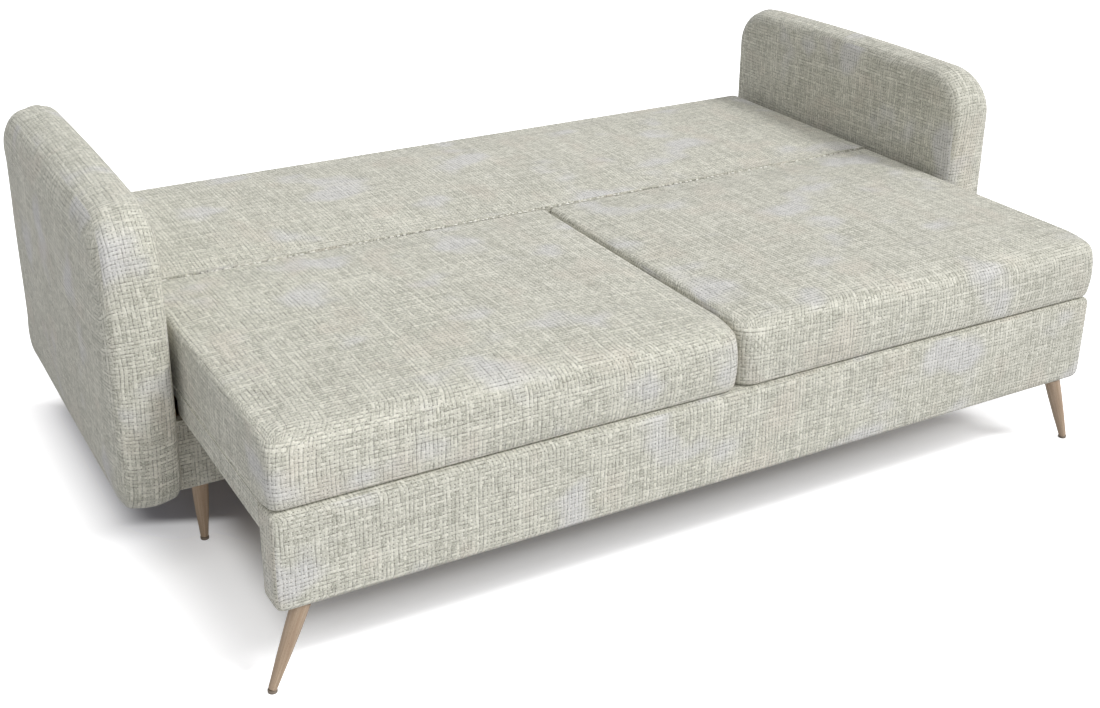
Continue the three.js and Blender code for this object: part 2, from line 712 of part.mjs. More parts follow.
function buildSwing() {
  const basePlateZ = [basePivotZ + basePlateRise - basePlateHeight, basePivotZ + basePlateRise];
  const seatPlateZ = [railTop - seatPlateHeight, railTop];
  for (const [word, side] of sides) {
    add(base, `base_pivot_rail_${word}`, steel,
      pivotRail(basePivots, basePlateEnd, basePlateZ, basePivotZ, spigotRadius, side));
    add(seat, `seat_pivot_rail_${word}`, steel,
      pivotRail(seatPivots, seatPlateEnd, seatPlateZ, seatPivotZ, pinRadius, side));
    [['front', 0], ['rear', 1]].forEach(([place, n]) => add(seat, `pivot_pin_${place}_${word}`, zinc, fastener(
      [pinHeadRadius, pinHeadThickness], [pinRadius, pinLength],
      linkInner - fit - pinHeadThickness, seatPivots[n], seatPivotZ, side)));
  }
  add(swing, 'front_swing_frame', steel, swingFrame(basePivots[0]));
  add(swing, 'rear_swing_frame', steel, swingFrame(basePivots[1]));
}

// Click-clack hinges
function hubArc([start, end]) {
  const count = (end - start) / hubArcStep;
  return Array.from({ length: count + 1 }, (_, step) => polar(hingeHub, start + step * hubArcStep));
}

function hingeShape(points) {
  return new THREE.Shape(points.map(([y, z]) => new THREE.Vector2(hingeY + y, hingeZ + z)));
}

// The back plate: a toothed sector below its hub, with one notch for each position of the back,
// and an arm that runs down to the board
function backHingePlate(side) {
  const notches = backPositions.map((raised) => engageAngle - raised).reverse();
  const points = [...hubArc(backPlateHubArc), polar(ratchetRadius, ratchetStart)];
  for (const angle of notches) {
    const [outY, outZ] = polar(1, angle);
    const corner = (radius, offset) => {
      const along = Math.sqrt(radius ** 2 - offset ** 2);
      return [outY * along - outZ * offset, outZ * along + outY * offset];
    };
    points.push(corner(ratchetRadius, -notchHalfWidth), corner(ratchetRoot, -notchHalfWidth),
      corner(ratchetRoot, notchHalfWidth), corner(ratchetRadius, notchHalfWidth));
  }
  const footZ = backBottom + fit - hingeZ;
  const footEnd = backPlateReach + backPlateFoot;
  points.push(polar(ratchetRadius, ratchetEnd), [backPlateReach, -backPlateDrop], [backPlateReach, footZ],
    [footEnd, footZ], [footEnd, footZ + backPlateFootHeight], [backPlateReach + backPlateDrop, -backPlateDrop / 2]);
  const outline = drill(hingeShape(points), hingeY, hingeZ, hingeStudRadius + fit);
  return sheet(outline, backPlateIn, backPlateOut, side);
}

// The seat plate: beside the seat, bent in under the deck, with the studs of the back plate
// and of the pawl
function seatHingePlate(side) {
  const footZ = railTop - hingePlate - hingeZ;
  const points = [...hubArc(seatPlateHubArc), [-seatPlateFootStart, footZ + seatPlateFootHeight],
    [-seatPlateFootStart, footZ], [-seatPlateFootEnd, footZ], [-seatPlateFootEnd, footZ + seatPlateFootHeight],
    seatPlateWaist, [hingeHub, -ratchetRadius]];
  const flange = board(beside(seatPlateOut - flangeWidth, seatPlateOut, side),
    [hingeY - seatPlateFootStart, hingeY - seatPlateFootEnd], [railTop - hingePlate, railTop]);
  return join(
    sheet(hingeShape(points), seatPlateIn, seatPlateOut, side), flange,
    bar(hingeStudRadius, backPlateIn, seatPlateOut, hingeY, hingeZ, side),
    bar(hingeHeadRadius, seatPlateOut - hingePlate / 2, seatPlateOut + hingeHeadThickness, hingeY, hingeZ, side),
    bar(pawlStudRadius, backPlateIn, seatPlateOut, hingeY + pawlPivot[0], hingeZ + pawlPivot[1], side));
}

// The pawl, drawn engaged about its own pivot and turned back to its parked place
function pawl(side) {
  const [outY, outZ] = polar(1, engageAngle);
  const fromPivot = ([y, z]) => new THREE.Vector2(y - pawlPivot[0], z - pawlPivot[1]);
  const tipPoint = (radius, offset) => fromPivot([outY * radius - outZ * offset, outZ * radius + outY * offset]);
  const shoulder = tipPoint(pawlShoulder, 0);
  const across = new THREE.Vector2(-shoulder.y, shoulder.x).normalize().multiplyScalar(pawlHalfWidth);
  const lever = new THREE.Shape([
    across.clone().negate(), shoulder.clone().sub(across), shoulder.clone().add(across), across]);
  const tip = new THREE.Shape([
    tipPoint(pawlShoulder, pawlTipHalfWidth), tipPoint(ratchetRoot + pawlTipGap, pawlTipHalfWidth),
    tipPoint(ratchetRoot + pawlTipGap, -pawlTipHalfWidth), tipPoint(pawlShoulder, -pawlTipHalfWidth)]);
  const hub = bar(pawlStudRadius + pawlHalfWidth / 2, backPlateIn, backPlateOut, 0, 0, side);
  const end = bar(pawlHalfWidth, backPlateIn, backPlateOut, shoulder.x, shoulder.y, side);
  const hole = bar(pawlStudRadius + fit, backPlateIn - cutOverrun, backPlateOut + cutOverrun, 0, 0, side);
  return cut(join(
    sheet(lever, backPlateIn, backPlateOut, side), sheet(tip, backPlateIn, backPlateOut, side), hub, end), hole);
}

function buildHinges() {
  for (const [word, side] of sides) {
    add(seat, `seat_hinge_plate_${word}`, steel, seatHingePlate(side));
    add(back, `back_hinge_plate_${word}`, steel, backHingePlate(side));
    const catchPawl = add(seat, `hinge_pawl_${word}`, zinc, pawl(side));
    catchPawl.position.set(0, hingeY + pawlPivot[0], hingeZ + pawlPivot[1]);
    catchPawl.rotation.x = -THREE.MathUtils.degToRad(pawlSwing);
  }
}

buildBase();
buildArms();
buildLegs();
buildSeat();
buildApron();
buildBack();
buildSwing();
buildHinges();

// The origin is the middle of the floor area.
const extent = new THREE.Box3().setFromObject(sofaBed);
sofaBed.position.y = -(extent.min.y + extent.max.y) / 2;
sofaBed.updateMatrixWorld(true);

export default sofaBed;
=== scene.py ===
import json
import math

import bmesh
import bpy
import numpy as np
from mathutils.bvhtree import BVHTree
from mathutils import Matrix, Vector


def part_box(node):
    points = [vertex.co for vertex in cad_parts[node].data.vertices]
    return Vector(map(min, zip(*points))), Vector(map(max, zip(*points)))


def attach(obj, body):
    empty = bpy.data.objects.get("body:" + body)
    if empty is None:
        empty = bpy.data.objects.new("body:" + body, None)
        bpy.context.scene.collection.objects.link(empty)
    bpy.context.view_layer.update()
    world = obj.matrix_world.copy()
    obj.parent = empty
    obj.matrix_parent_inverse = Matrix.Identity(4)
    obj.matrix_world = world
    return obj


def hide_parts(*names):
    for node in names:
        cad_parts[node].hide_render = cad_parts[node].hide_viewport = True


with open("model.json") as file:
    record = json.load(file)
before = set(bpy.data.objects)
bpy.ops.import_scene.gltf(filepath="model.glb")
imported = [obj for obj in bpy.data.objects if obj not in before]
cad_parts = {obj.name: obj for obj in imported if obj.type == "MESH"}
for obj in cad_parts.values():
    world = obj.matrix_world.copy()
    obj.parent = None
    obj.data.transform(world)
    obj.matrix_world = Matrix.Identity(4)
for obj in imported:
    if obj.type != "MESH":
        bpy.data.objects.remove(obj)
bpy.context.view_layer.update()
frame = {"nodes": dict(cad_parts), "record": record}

# Sofa bed opened as a bed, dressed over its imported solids. Metres, +X right, +Y to the rear, +Z up.

MM = 0.001
BODY_OF = {node: body for body, nodes in frame["record"]["behaviour"]["bodies"].items() for node in nodes}
SLOT_OF = {row["node"]: row["material_slot"] for row in frame["record"]["subparts"]}
SIDES = (("left", -1), ("right", 1))


# Camera, at the place and angle that the photograph was taken from
CAMERA_PLACE = (-1.6200, -2.7549, 1.6944)
CAMERA_PITCH = -22.42
CAMERA_YAW = -28.57
CAMERA_LENS = 48.85           # in millimetres, as the sensor is
CAMERA_SENSOR = 36
CAMERA_SHIFT = (0.0280, -0.0759)


def place_object(name, data):
    made = bpy.data.objects.new(name, data)
    bpy.context.scene.collection.objects.link(made)
    return made


def set_camera():
    data = bpy.data.cameras.new("camera")
    data.lens = CAMERA_LENS
    data.sensor_width = CAMERA_SENSOR
    data.shift_x, data.shift_y = CAMERA_SHIFT
    camera = place_object("camera", data)
    camera.location = CAMERA_PLACE
    camera.rotation_euler = (math.radians(90 + CAMERA_PITCH), 0, math.radians(CAMERA_YAW))
    bpy.context.scene.camera = camera


set_camera()


# Colours and nodes
def linear(colour):
    """Linear RGBA of an sRGB hex colour."""
    channels = np.array([int(colour[i:i + 2], 16) for i in (1, 3, 5)]) / 255
    values = np.where(channels <= 0.04045, channels / 12.92, ((channels + 0.055) / 1.055) ** 2.4)
    return (*values.tolist(), 1.0)


def add(tree, kind, inputs=(), **settings):
    """Adds a shader node. inputs, in their order or by name or number, each take a number, a hex colour, a
    socket, or a node, whose first output in use is then linked."""
    made = tree.nodes.new("ShaderNode" + kind)
    for name, setting in settings.items():
        setattr(made, name, setting)
    for key, value in inputs.items() if isinstance(inputs, dict) else enumerate(inputs):
        socket = made.inputs[key]
        if isinstance(value, bpy.types.Node):
            value = next(out for out in value.outputs if out.enabled)
        if isinstance(value, bpy.types.NodeSocket):
            tree.links.new(value, socket)
        else:
            socket.default_value = linear(value) if isinstance(value, str) else value
    return made


SMOOTH = {"interpolation_type": "SMOOTHSTEP"}     # a Map Range that starts and ends softly


def start_material(name):
    material = bpy.data.materials.new(name)
    material.use_nodes = True
    material.node_tree.nodes.clear()
    return material, material.node_tree


def finish_material(tree, **surface):
    """Puts the Principled surface on the material. Underscores in its inputs' names stand for spaces."""
    inputs = {key.replace("_", " "): value for key, value in surface.items()}
    add(tree, "OutputMaterial", {"Surface": add(tree, "BsdfPrincipled", inputs)})


def overlaid(tree, colour, *layers):
    """Lays shades over a colour. Each layer is a pattern, the two values of it between which the shade comes
    in softly, with its share at both where that isn't 0 and 1, and the shade."""
    for pattern, edges, shade in layers:
        share = add(tree, "MapRange", (pattern, *edges), **SMOOTH)
        colour = add(tree, "Mix", {0: share, 6: colour, 7: shade}, data_type="RGBA")
    return colour


def streaks(tree, place, along, across, detail=1.0, shift=0.0):
    """Soft noise with features of these two sizes in metres, along the place's first and second direction.
    shift picks another part of the noise, so that no two patterns are alike."""
    scaled = add(tree, "Mapping", {"Vector": place, "Location": (shift, shift, 0),
                                   "Scale": (1 / along, 1 / across, 1)})
    return add(tree, "TexNoise", {"Vector": scaled, "Scale": 1.0, "Detail": detail}, noise_dimensions="2D")


# Coarse linen-look upholstery, plain woven from thick uneven yarns: dark gaps between the yarns, bright
# slubs along them, and patches of greyer and of warmer yarn
YARN = 8.0 * MM               # spacing of the yarns, drawn as coarse as the photograph shows it
YARN_LIFT = 1.4 * MM
YARN_ROUNDNESS = 0.80         # share of a yarn's height that its own roundness gives
YARN_SWING = 0.18             # share that it gains over the other yarn, and loses under it
WANDER = 5 * MM               # how far the noise pushes a yarn sideways
NEXT_YARN = 1.7               # step in the noise from one yarn to the next, so that each has its own


def yarn_noise(tree, number, run, length, shift):
    """Soft noise that runs along one yarn with features of this length, and starts afresh on the next."""
    place = add(tree, "CombineXYZ", [
        add(tree, "Math", (number, NEXT_YARN, shift), operation="MULTIPLY_ADD"),
        add(tree, "Math", (run, 1 / length), operation="MULTIPLY")])
    return add(tree, "TexNoise", {"Vector": place, "Scale": 1.0, "Detail": 1.0}, noise_dimensions="2D")


def woven_upholstery():
    """A yarn's height is |sin| across it, and the product of both sines lifts warp and weft in turn."""
    material, tree = start_material("woven_linen_upholstery")
    cloth = add(tree, "UVMap", uv_map="weave")
    # Each yarn wanders sideways along its length
    wander = [add(tree, "Math", (streaks(tree, cloth, along, across, shift=shift), WANDER, -WANDER / 2),
                  operation="MULTIPLY_ADD")
              for along, across, shift in ((14 * MM, 60 * MM, 0.0), (60 * MM, 14 * MM, 7.3))]
    wandering = add(tree, "CombineXYZ", wander)
    threads = add(tree, "SeparateXYZ", [add(tree, "VectorMath", (cloth, wandering), operation="ADD")])
    place_a, place_b = (add(tree, "Math", (threads.outputs[i], 1 / YARN), operation="MULTIPLY")
                        for i in (0, 1))
    # a and b swing through zero at the edge of each warp and weft yarn
    a, b = (add(tree, "Math", [add(tree, "Math", (place, math.pi), operation="MULTIPLY")], operation="SINE")
            for place in (place_a, place_b))
    over = add(tree, "Math", (a, b), operation="MULTIPLY")
    swing = add(tree, "Math", (over, YARN_SWING), operation="MULTIPLY")
    swing_back = add(tree, "Math", (swing, -1.0), operation="MULTIPLY")
    across_a, across_b = (add(tree, "Math", [wave], operation="ABSOLUTE") for wave in (a, b))
    warp = add(tree, "Math", (across_a, YARN_ROUNDNESS, swing), operation="MULTIPLY_ADD")
    weft = add(tree, "Math", (across_b, YARN_ROUNDNESS, swing_back), operation="MULTIPLY_ADD")
    height = add(tree, "Math", (warp, weft), operation="MAXIMUM")
    lead = add(tree, "Math", (warp, weft), operation="SUBTRACT")
    on_top = add(tree, "MapRange", (lead, -0.15, 0.15), **SMOOTH)
    # Uneven yarn: long brighter and duller lengths, with short slubs on them
    yarn_a, yarn_b = (add(tree, "Math", [place], operation="FLOOR") for place in (place_a, place_b))
    tones = []
    for number, run, shift in ((yarn_a, threads.outputs[1], 3.1), (yarn_b, threads.outputs[0], 11.7)):
        length = yarn_noise(tree, number, run, 220 * MM, shift)
        slub = yarn_noise(tree, number, run, 18 * MM, shift + 40)
        both = add(tree, "Math", (length, slub), operation="ADD")
        tones.append(add(tree, "Math", (both, 0.5), operation="MULTIPLY"))
    tone = add(tree, "Mix", {0: on_top, 2: tones[1], 3: tones[0]}, data_type="FLOAT")
    fibre = streaks(tree, cloth, 2.4 * MM, 2.4 * MM, detail=2.0, shift=5.0)
    # Dark gaps open between two yarns, longer along the warp, and at most of their crossings
    gaps = []
    for place, across, run, length, shift in ((place_a, across_a, threads.outputs[1], 40 * MM, 27.1),
                                              (place_b, across_b, threads.outputs[0], 24 * MM, 35.7)):
        edge = add(tree, "Math", [place], operation="ROUND")
        opening = add(tree, "MapRange", (yarn_noise(tree, edge, run, length, shift), 0.46, 0.66), **SMOOTH)
        beside = add(tree, "MapRange", (across, 0.10, 0.50, 1.0, 0.0), **SMOOTH)
        gaps.append(add(tree, "Math", (opening, beside), operation="MULTIPLY"))
    slits = add(tree, "Math", (add(tree, "Math", gaps, operation="MAXIMUM"), 0.55), operation="MULTIPLY")
    crossing = add(tree, "MapRange", (height, 0.12, 0.50, 1.0, 0.0), **SMOOTH)
    blotches = streaks(tree, cloth, 10 * MM, 10 * MM, shift=23.0)
    depth = add(tree, "MapRange", (blotches, 0.30, 0.56, 0.35, 1.0), **SMOOTH)
    pit = add(tree, "Math", (crossing, depth), operation="MULTIPLY")
    gap = add(tree, "Math", (pit, slits), operation="MAXIMUM")
    # Soft patches of yarn from other bobbins
    greyer = streaks(tree, cloth, 190 * MM, 150 * MM, detail=2.0, shift=31.0)
    warmer = streaks(tree, cloth, 130 * MM, 160 * MM, detail=2.0, shift=47.0)
    uneven = add(tree, "MapRange", (tone, 0.34, 0.66))
    colour = add(tree, "Mix", {0: uneven, 6: "#a9a89a", 7: "#dedccf"}, data_type="RGBA")
    colour = overlaid(tree, colour, (greyer, (0.56, 0.76, 0.0, 0.50), "#d6d5dd"),
                      (warmer, (0.55, 0.75, 0.0, 0.32), "#d2c6b8"),
                      (fibre, (0.48, 0.66, 0.0, 0.60), "#f2f1e8"))
    darkened = add(tree, "Math", (gap, 0.92), operation="MULTIPLY")
    colour = add(tree, "Mix", {0: darkened, 6: colour, 7: "#65645a"}, data_type="RGBA")
    fuzzy = add(tree, "Math", (fibre, 0.25, height), operation="MULTIPLY_ADD")
    relief = add(tree, "Math", (gap, -0.25, fuzzy), operation="MULTIPLY_ADD")
    bump = add(tree, "Bump", {"Strength": 0.7, "Distance": YARN_LIFT, "Height": relief})
    finish_material(tree, Base_Color=colour, Roughness=0.92, Specular_IOR_Level=0.2, Sheen_Weight=0.15,
                    Sheen_Roughness=0.6, Normal=bump)
    return material


def spunbond_lining():
    """Black spunbond polypropylene, pressed with a fine grid of dots, with an even dull black."""
    material, tree = start_material("spunbond_lining")
    place = add(tree, "TexCoord").outputs["Object"]
    dots = add(tree, "TexVoronoi", {"Vector": place, "Scale": 1 / (2.4 * MM), "Randomness": 0.15})
    fibres = add(tree, "TexNoise", {"Vector": place, "Scale": 1 / (6 * MM), "Detail": 5.0})
    colour = overlaid(tree, "#2b2b2a", (fibres, (0.35, 0.65), "#3f3e3c"),
                      (dots, (0.20, 0.35, 0.6, 0.0), "#1c1c1b"))
    bump = add(tree, "Bump", {"Strength": 0.3, "Distance": 0.2 * MM, "Height": dots})
    finish_material(tree, Base_Color=colour, Roughness=0.85, Specular_IOR_Level=0.3, Normal=bump)
    return material


def pale_thread():
    """Pale spun thread, slightly uneven in tone."""
    material, tree = start_material("pale_thread")
    place = add(tree, "TexCoord").outputs["Object"]
    slub = add(tree, "TexNoise", {"Vector": place, "Scale": 1 / (5 * MM), "Detail": 1.0})
    colour = overlaid(tree, "#e2e0d6", (slub, (0.35, 0.65), "#fbfaf4"))
    finish_material(tree, Base_Color=colour, Roughness=0.9)
    return material


def turned_beech():
    """Beech, turned and matt lacquered: pale pinkish brown with fine darker flecks along the grain."""
    material, tree = start_material("turned_beech")
    place = add(tree, "UVMap", uv_map="grain")
    bands = streaks(tree, place, 7 * MM, 160 * MM, detail=3.0)
    figure = streaks(tree, place, 2.0 * MM, 60 * MM, detail=2.0, shift=4.0)
    flecks = streaks(tree, place, 0.8 * MM, 5.0 * MM, detail=1.0, shift=9.0)
    colour = overlaid(tree, "#ab927a", (bands, (0.32, 0.70), "#c3ad94"),
                      (figure, (0.40, 0.75, 0.0, 0.5), "#ae9a85"),
                      (flecks, (0.62, 0.74, 0.0, 0.5), "#806650"))
    bump = add(tree, "Bump", {"Strength": 0.15, "Distance": 0.1 * MM, "Height": flecks})
    finish_material(tree, Base_Color=colour, Roughness=0.42, Coat_Weight=0.15, Coat_Roughness=0.35,
                    Normal=bump)
    return material


def sawn_softwood(name, turned):
    """Planed spruce, as in hidden frames: pale yellow with darker latewood lines along the board. turned is
    the angle that brings the board's length to the pattern's."""
    material, tree = start_material(name)
    place = add(tree, "TexCoord").outputs["Object"]
    board = add(tree, "Mapping", {"Vector": place, "Rotation": (0, 0, math.radians(turned))})
    grain, fine = (add(tree, "Mapping", {"Vector": board, "Scale": (1 / long, 1 / wide, 1 / wide)})
                   for long, wide in ((400 * MM, 9 * MM), (60 * MM, 1.2 * MM)))
    lines = add(tree, "TexNoise", {"Vector": grain, "Scale": 1.0, "Detail": 3.0, "Distortion": 0.6})
    pores = add(tree, "TexNoise", {"Vector": fine, "Scale": 1.0, "Detail": 2.0})
    colour = overlaid(tree, "#dcc193", (lines, (0.38, 0.66), "#bd9460"),
                      (pores, (0.5, 0.8, 0.0, 0.5), "#a97f4f"))
    bump = add(tree, "Bump", {"Strength": 0.25, "Distance": 0.3 * MM, "Height": pores})
    finish_material(tree, Base_Color=colour, Roughness=0.75, Specular_IOR_Level=0.35, Normal=bump)
    return material


def moulded_plastic():
    """Grey-brown polyethylene, moulded with a fine spark-eroded grain, slightly waxy."""
    material, tree = start_material("moulded_polyethylene")
    place = add(tree, "TexCoord").outputs["Object"]
    grit = add(tree, "TexNoise", {"Vector": place, "Scale": 1 / (0.9 * MM), "Detail": 2.0})
    colour = overlaid(tree, "#7c7164", (grit, (0.3, 0.7), "#8c8072"))
    bump = add(tree, "Bump", {"Strength": 0.2, "Distance": 0.08 * MM, "Height": grit})
    finish_material(tree, Base_Color=colour, Roughness=0.5, IOR=1.5, Normal=bump)
    return material


def powder_coat():
    """Pressed steel under black powder coat, with the soft pebbled skin that the powder leaves."""
    material, tree = start_material("powder_coated_steel")
    place = add(tree, "TexCoord").outputs["Object"]
    skin = add(tree, "TexNoise", {"Vector": place, "Scale": 1 / (1.6 * MM), "Detail": 1.0})
    dust = add(tree, "TexNoise", {"Vector": place, "Scale": 1 / (45 * MM), "Detail": 4.0})
    colour = overlaid(tree, "#2f3032", (dust, (0.4, 0.7), "#3d3e40"))
    rough = add(tree, "MapRange", (dust, 0.35, 0.7, 0.42, 0.58), **SMOOTH)
    bump = add(tree, "Bump", {"Strength": 0.25, "Distance": 0.15 * MM, "Height": skin})
    finish_material(tree, Base_Color=colour, Roughness=rough, Normal=bump)
    return material


def zinc_plate():
    """Zinc plated steel: a cool grey metal, clouded by the passivating bath."""
    material, tree = start_material("zinc_plated_steel")
    place = add(tree, "TexCoord").outputs["Object"]
    clouds = add(tree, "TexNoise", {"Vector": place, "Scale": 1 / (7 * MM), "Detail": 4.0})
    colour = overlaid(tree, "#b3b8bd", (clouds, (0.35, 0.7), "#c9c7bd"))
    rough = add(tree, "MapRange", (clouds, 0.3, 0.75, 0.28, 0.46), **SMOOTH)
    finish_material(tree, Base_Color=colour, Metallic=1.0, Roughness=rough)
    return material


UPHOLSTERY = woven_upholstery()
LINING = spunbond_lining()
THREAD = pale_thread()
BEECH = turned_beech()
BOARDS_X = sawn_softwood("sawn_spruce_across", turned=0)
BOARDS_Y = sawn_softwood("sawn_spruce_lengthwise", turned=90)
PLASTIC = moulded_plastic()
STEEL = powder_coat()
ZINC = zinc_plate()


# Meshes
SHARP_ANGLE = math.radians(32)


def read(rows, name, width=1, dtype=np.float32):
    """One attribute of a mesh's vertices, loops or faces, as an array with this many columns."""
    values = np.empty(len(rows) * width, dtype=dtype)
    rows.foreach_get(name, values)
    return values.reshape(-1, width) if width > 1 else values


def shade_smooth(mesh, sharp_angle=None):
    """Smooth shading, apart from the edges that turn by more than the sharp angle."""
    mesh.polygons.foreach_set("use_smooth", np.ones(len(mesh.polygons), dtype=bool))
    if sharp_angle:
        mesh.set_sharp_from_angle(angle=sharp_angle)


def make_piece(name, vertices, quads, material, uv_map=None, uvs=None):
    mesh = bpy.data.meshes.new(name)
    mesh.vertices.add(len(vertices))
    mesh.vertices.foreach_set("co", np.asarray(vertices, dtype=np.float32).ravel())
    mesh.loops.add(quads.size)
    mesh.loops.foreach_set("vertex_index", quads.astype(np.int32).ravel())
    mesh.polygons.add(len(quads))
    mesh.polygons.foreach_set("loop_start", np.arange(0, quads.size, quads.shape[1], dtype=np.int32))
    mesh.update(calc_edges=True)
    mesh.validate()
    if uv_map:
        mesh.uv_layers.new(name=uv_map).data.foreach_set("uv", np.asarray(uvs, dtype=np.float32).ravel())
    mesh.materials.append(material)
    shade_smooth(mesh)
    return place_object(name, mesh)


def box_of(node):
    """A node's lowest and highest corner, the middle between them and half its size."""
    low, high = (np.array(corner, dtype=float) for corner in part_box(node))
    return low, high, (low + high) / 2, (high - low) / 2


def stand_for(piece, *nodes):
    """The piece rides with the body of the first CAD node that it stands for, and those nodes are hidden."""
    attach(piece, BODY_OF[nodes[0]])
    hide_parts(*nodes)


def unit(angle):
    """(cos, sin) of each angle."""
    return np.stack([np.cos(angle), np.sin(angle)], axis=-1)


def closed_round(grid):
    """The grid with its first column repeated after its last."""
    return np.concatenate([grid, grid[:, :1]], axis=1)


def cells(grid):
    """The four corners of each cell between neighbouring rows and columns, in order round the cell."""
    return np.stack([grid[:-1, :-1], grid[:-1, 1:], grid[1:, 1:], grid[1:, :-1]], axis=2)


# Padded forms
def rounded_outline(half_u, half_v, low, high, across, along):
    """A rounded rectangle, counter-clockwise from the middle of its high side. low and high are the radii of
    the corners on the low and the high side, each as the pair at -u and +u.

    A side runs from the middle of one corner to the middle of the next: the point is the corner's centre
    plus its radius times the normal, whose angle grows with the length and holds along the straight.
    pull is 4 t (1 - t) along the straight. Returns points, normals, pull and the length run so far."""
    corners = {"high +u": (1, 1, high[1]), "high -u": (-1, 1, high[0]),
               "low -u": (-1, -1, low[0]), "low +u": (1, -1, low[1])}
    sides = ((90, "high +u", "high -u", across, 2 * half_u), (180, "high -u", "low -u", along, 2 * half_v),
             (270, "low -u", "low +u", across, 2 * half_u), (0, "low +u", "high +u", along, 2 * half_v))
    points, normals, pulls, lengths, run = [], [], [], [], 0.0
    for degrees, first, second, count, side_length in sides:
        facing = math.radians(degrees)
        (sign_u, sign_v, radius), next_radius = corners[first], corners[second][2]
        centre = np.array([sign_u * (half_u - radius), sign_v * (half_v - radius)])
        straight = side_length - radius - next_radius
        bend, next_bend = radius * math.pi / 4, next_radius * math.pi / 4
        total = bend + straight + next_bend
        s = np.arange(count) / count * total
        start = facing + np.clip((s - bend) / radius, -math.pi / 4, 0)
        end = facing + np.clip((s - bend - straight) / next_radius, 0, math.pi / 4)
        gone = np.clip(s - bend, 0, straight)
        points.append(centre + radius * unit(start) + gone[:, None] * unit(np.array(facing + math.pi / 2))
                      + next_radius * (unit(end) - unit(np.array(facing))))
        normals.append(unit(start + end - facing))
        pulls.append(4 * (gone / straight) * (1 - gone / straight))
        lengths.append(run + s)
        if first == "high +u":
            half_high_side = total / 2
        run += total
    turn = -(across // 2)
    points, normals, pulls = (np.roll(np.concatenate(part), turn, axis=0)
                              for part in (points, normals, pulls))
    lengths = np.roll((np.concatenate(lengths) - half_high_side) % run, turn)
    lengths[0] = 0.0
    return points, normals, pulls, np.append(lengths, run)


def patch(ring, across, along):
    """Coons patch over a closed ring that starts mid rear: each point is the mean of the two rulings
    between opposite sides, less the corners' own bilinear share. Returns it as [across + 1, along + 1]."""
    closed = np.concatenate([ring, ring[:1]])
    left, front, right = across // 2, across // 2 + along, across // 2 + along + across
    rear_right = right + along
    side_front, side_left = closed[front:right + 1], closed[left:front + 1][::-1]
    side_right = closed[right:rear_right + 1]
    side_rear = np.concatenate([closed[rear_right:-1], closed[:left + 1]])[::-1]
    s, t = np.meshgrid(np.arange(across + 1) / across, np.arange(along + 1) / along, indexing="ij")
    s, t = s[..., None], t[..., None]
    ruled = ((1 - t) * side_front[:, None] + t * side_rear[:, None]
             + (1 - s) * side_left[None] + s * side_right[None])
    corners = ((1 - s) * (1 - t) * side_front[0] + s * (1 - t) * side_front[-1]
               + (1 - s) * t * side_rear[0] + s * t * side_rear[-1])
    return ruled - corners


def smooth_share(value):
    """3 t^2 - 2 t^3 of the value held to 0 to 1"""
    held = np.clip(value, 0, 1)
    return held * held * (3 - 2 * held)


AWAY_FROM, AWAY_TO = -25 * MM, 80 * MM  # where a form turns to its edges away from the low side, from there


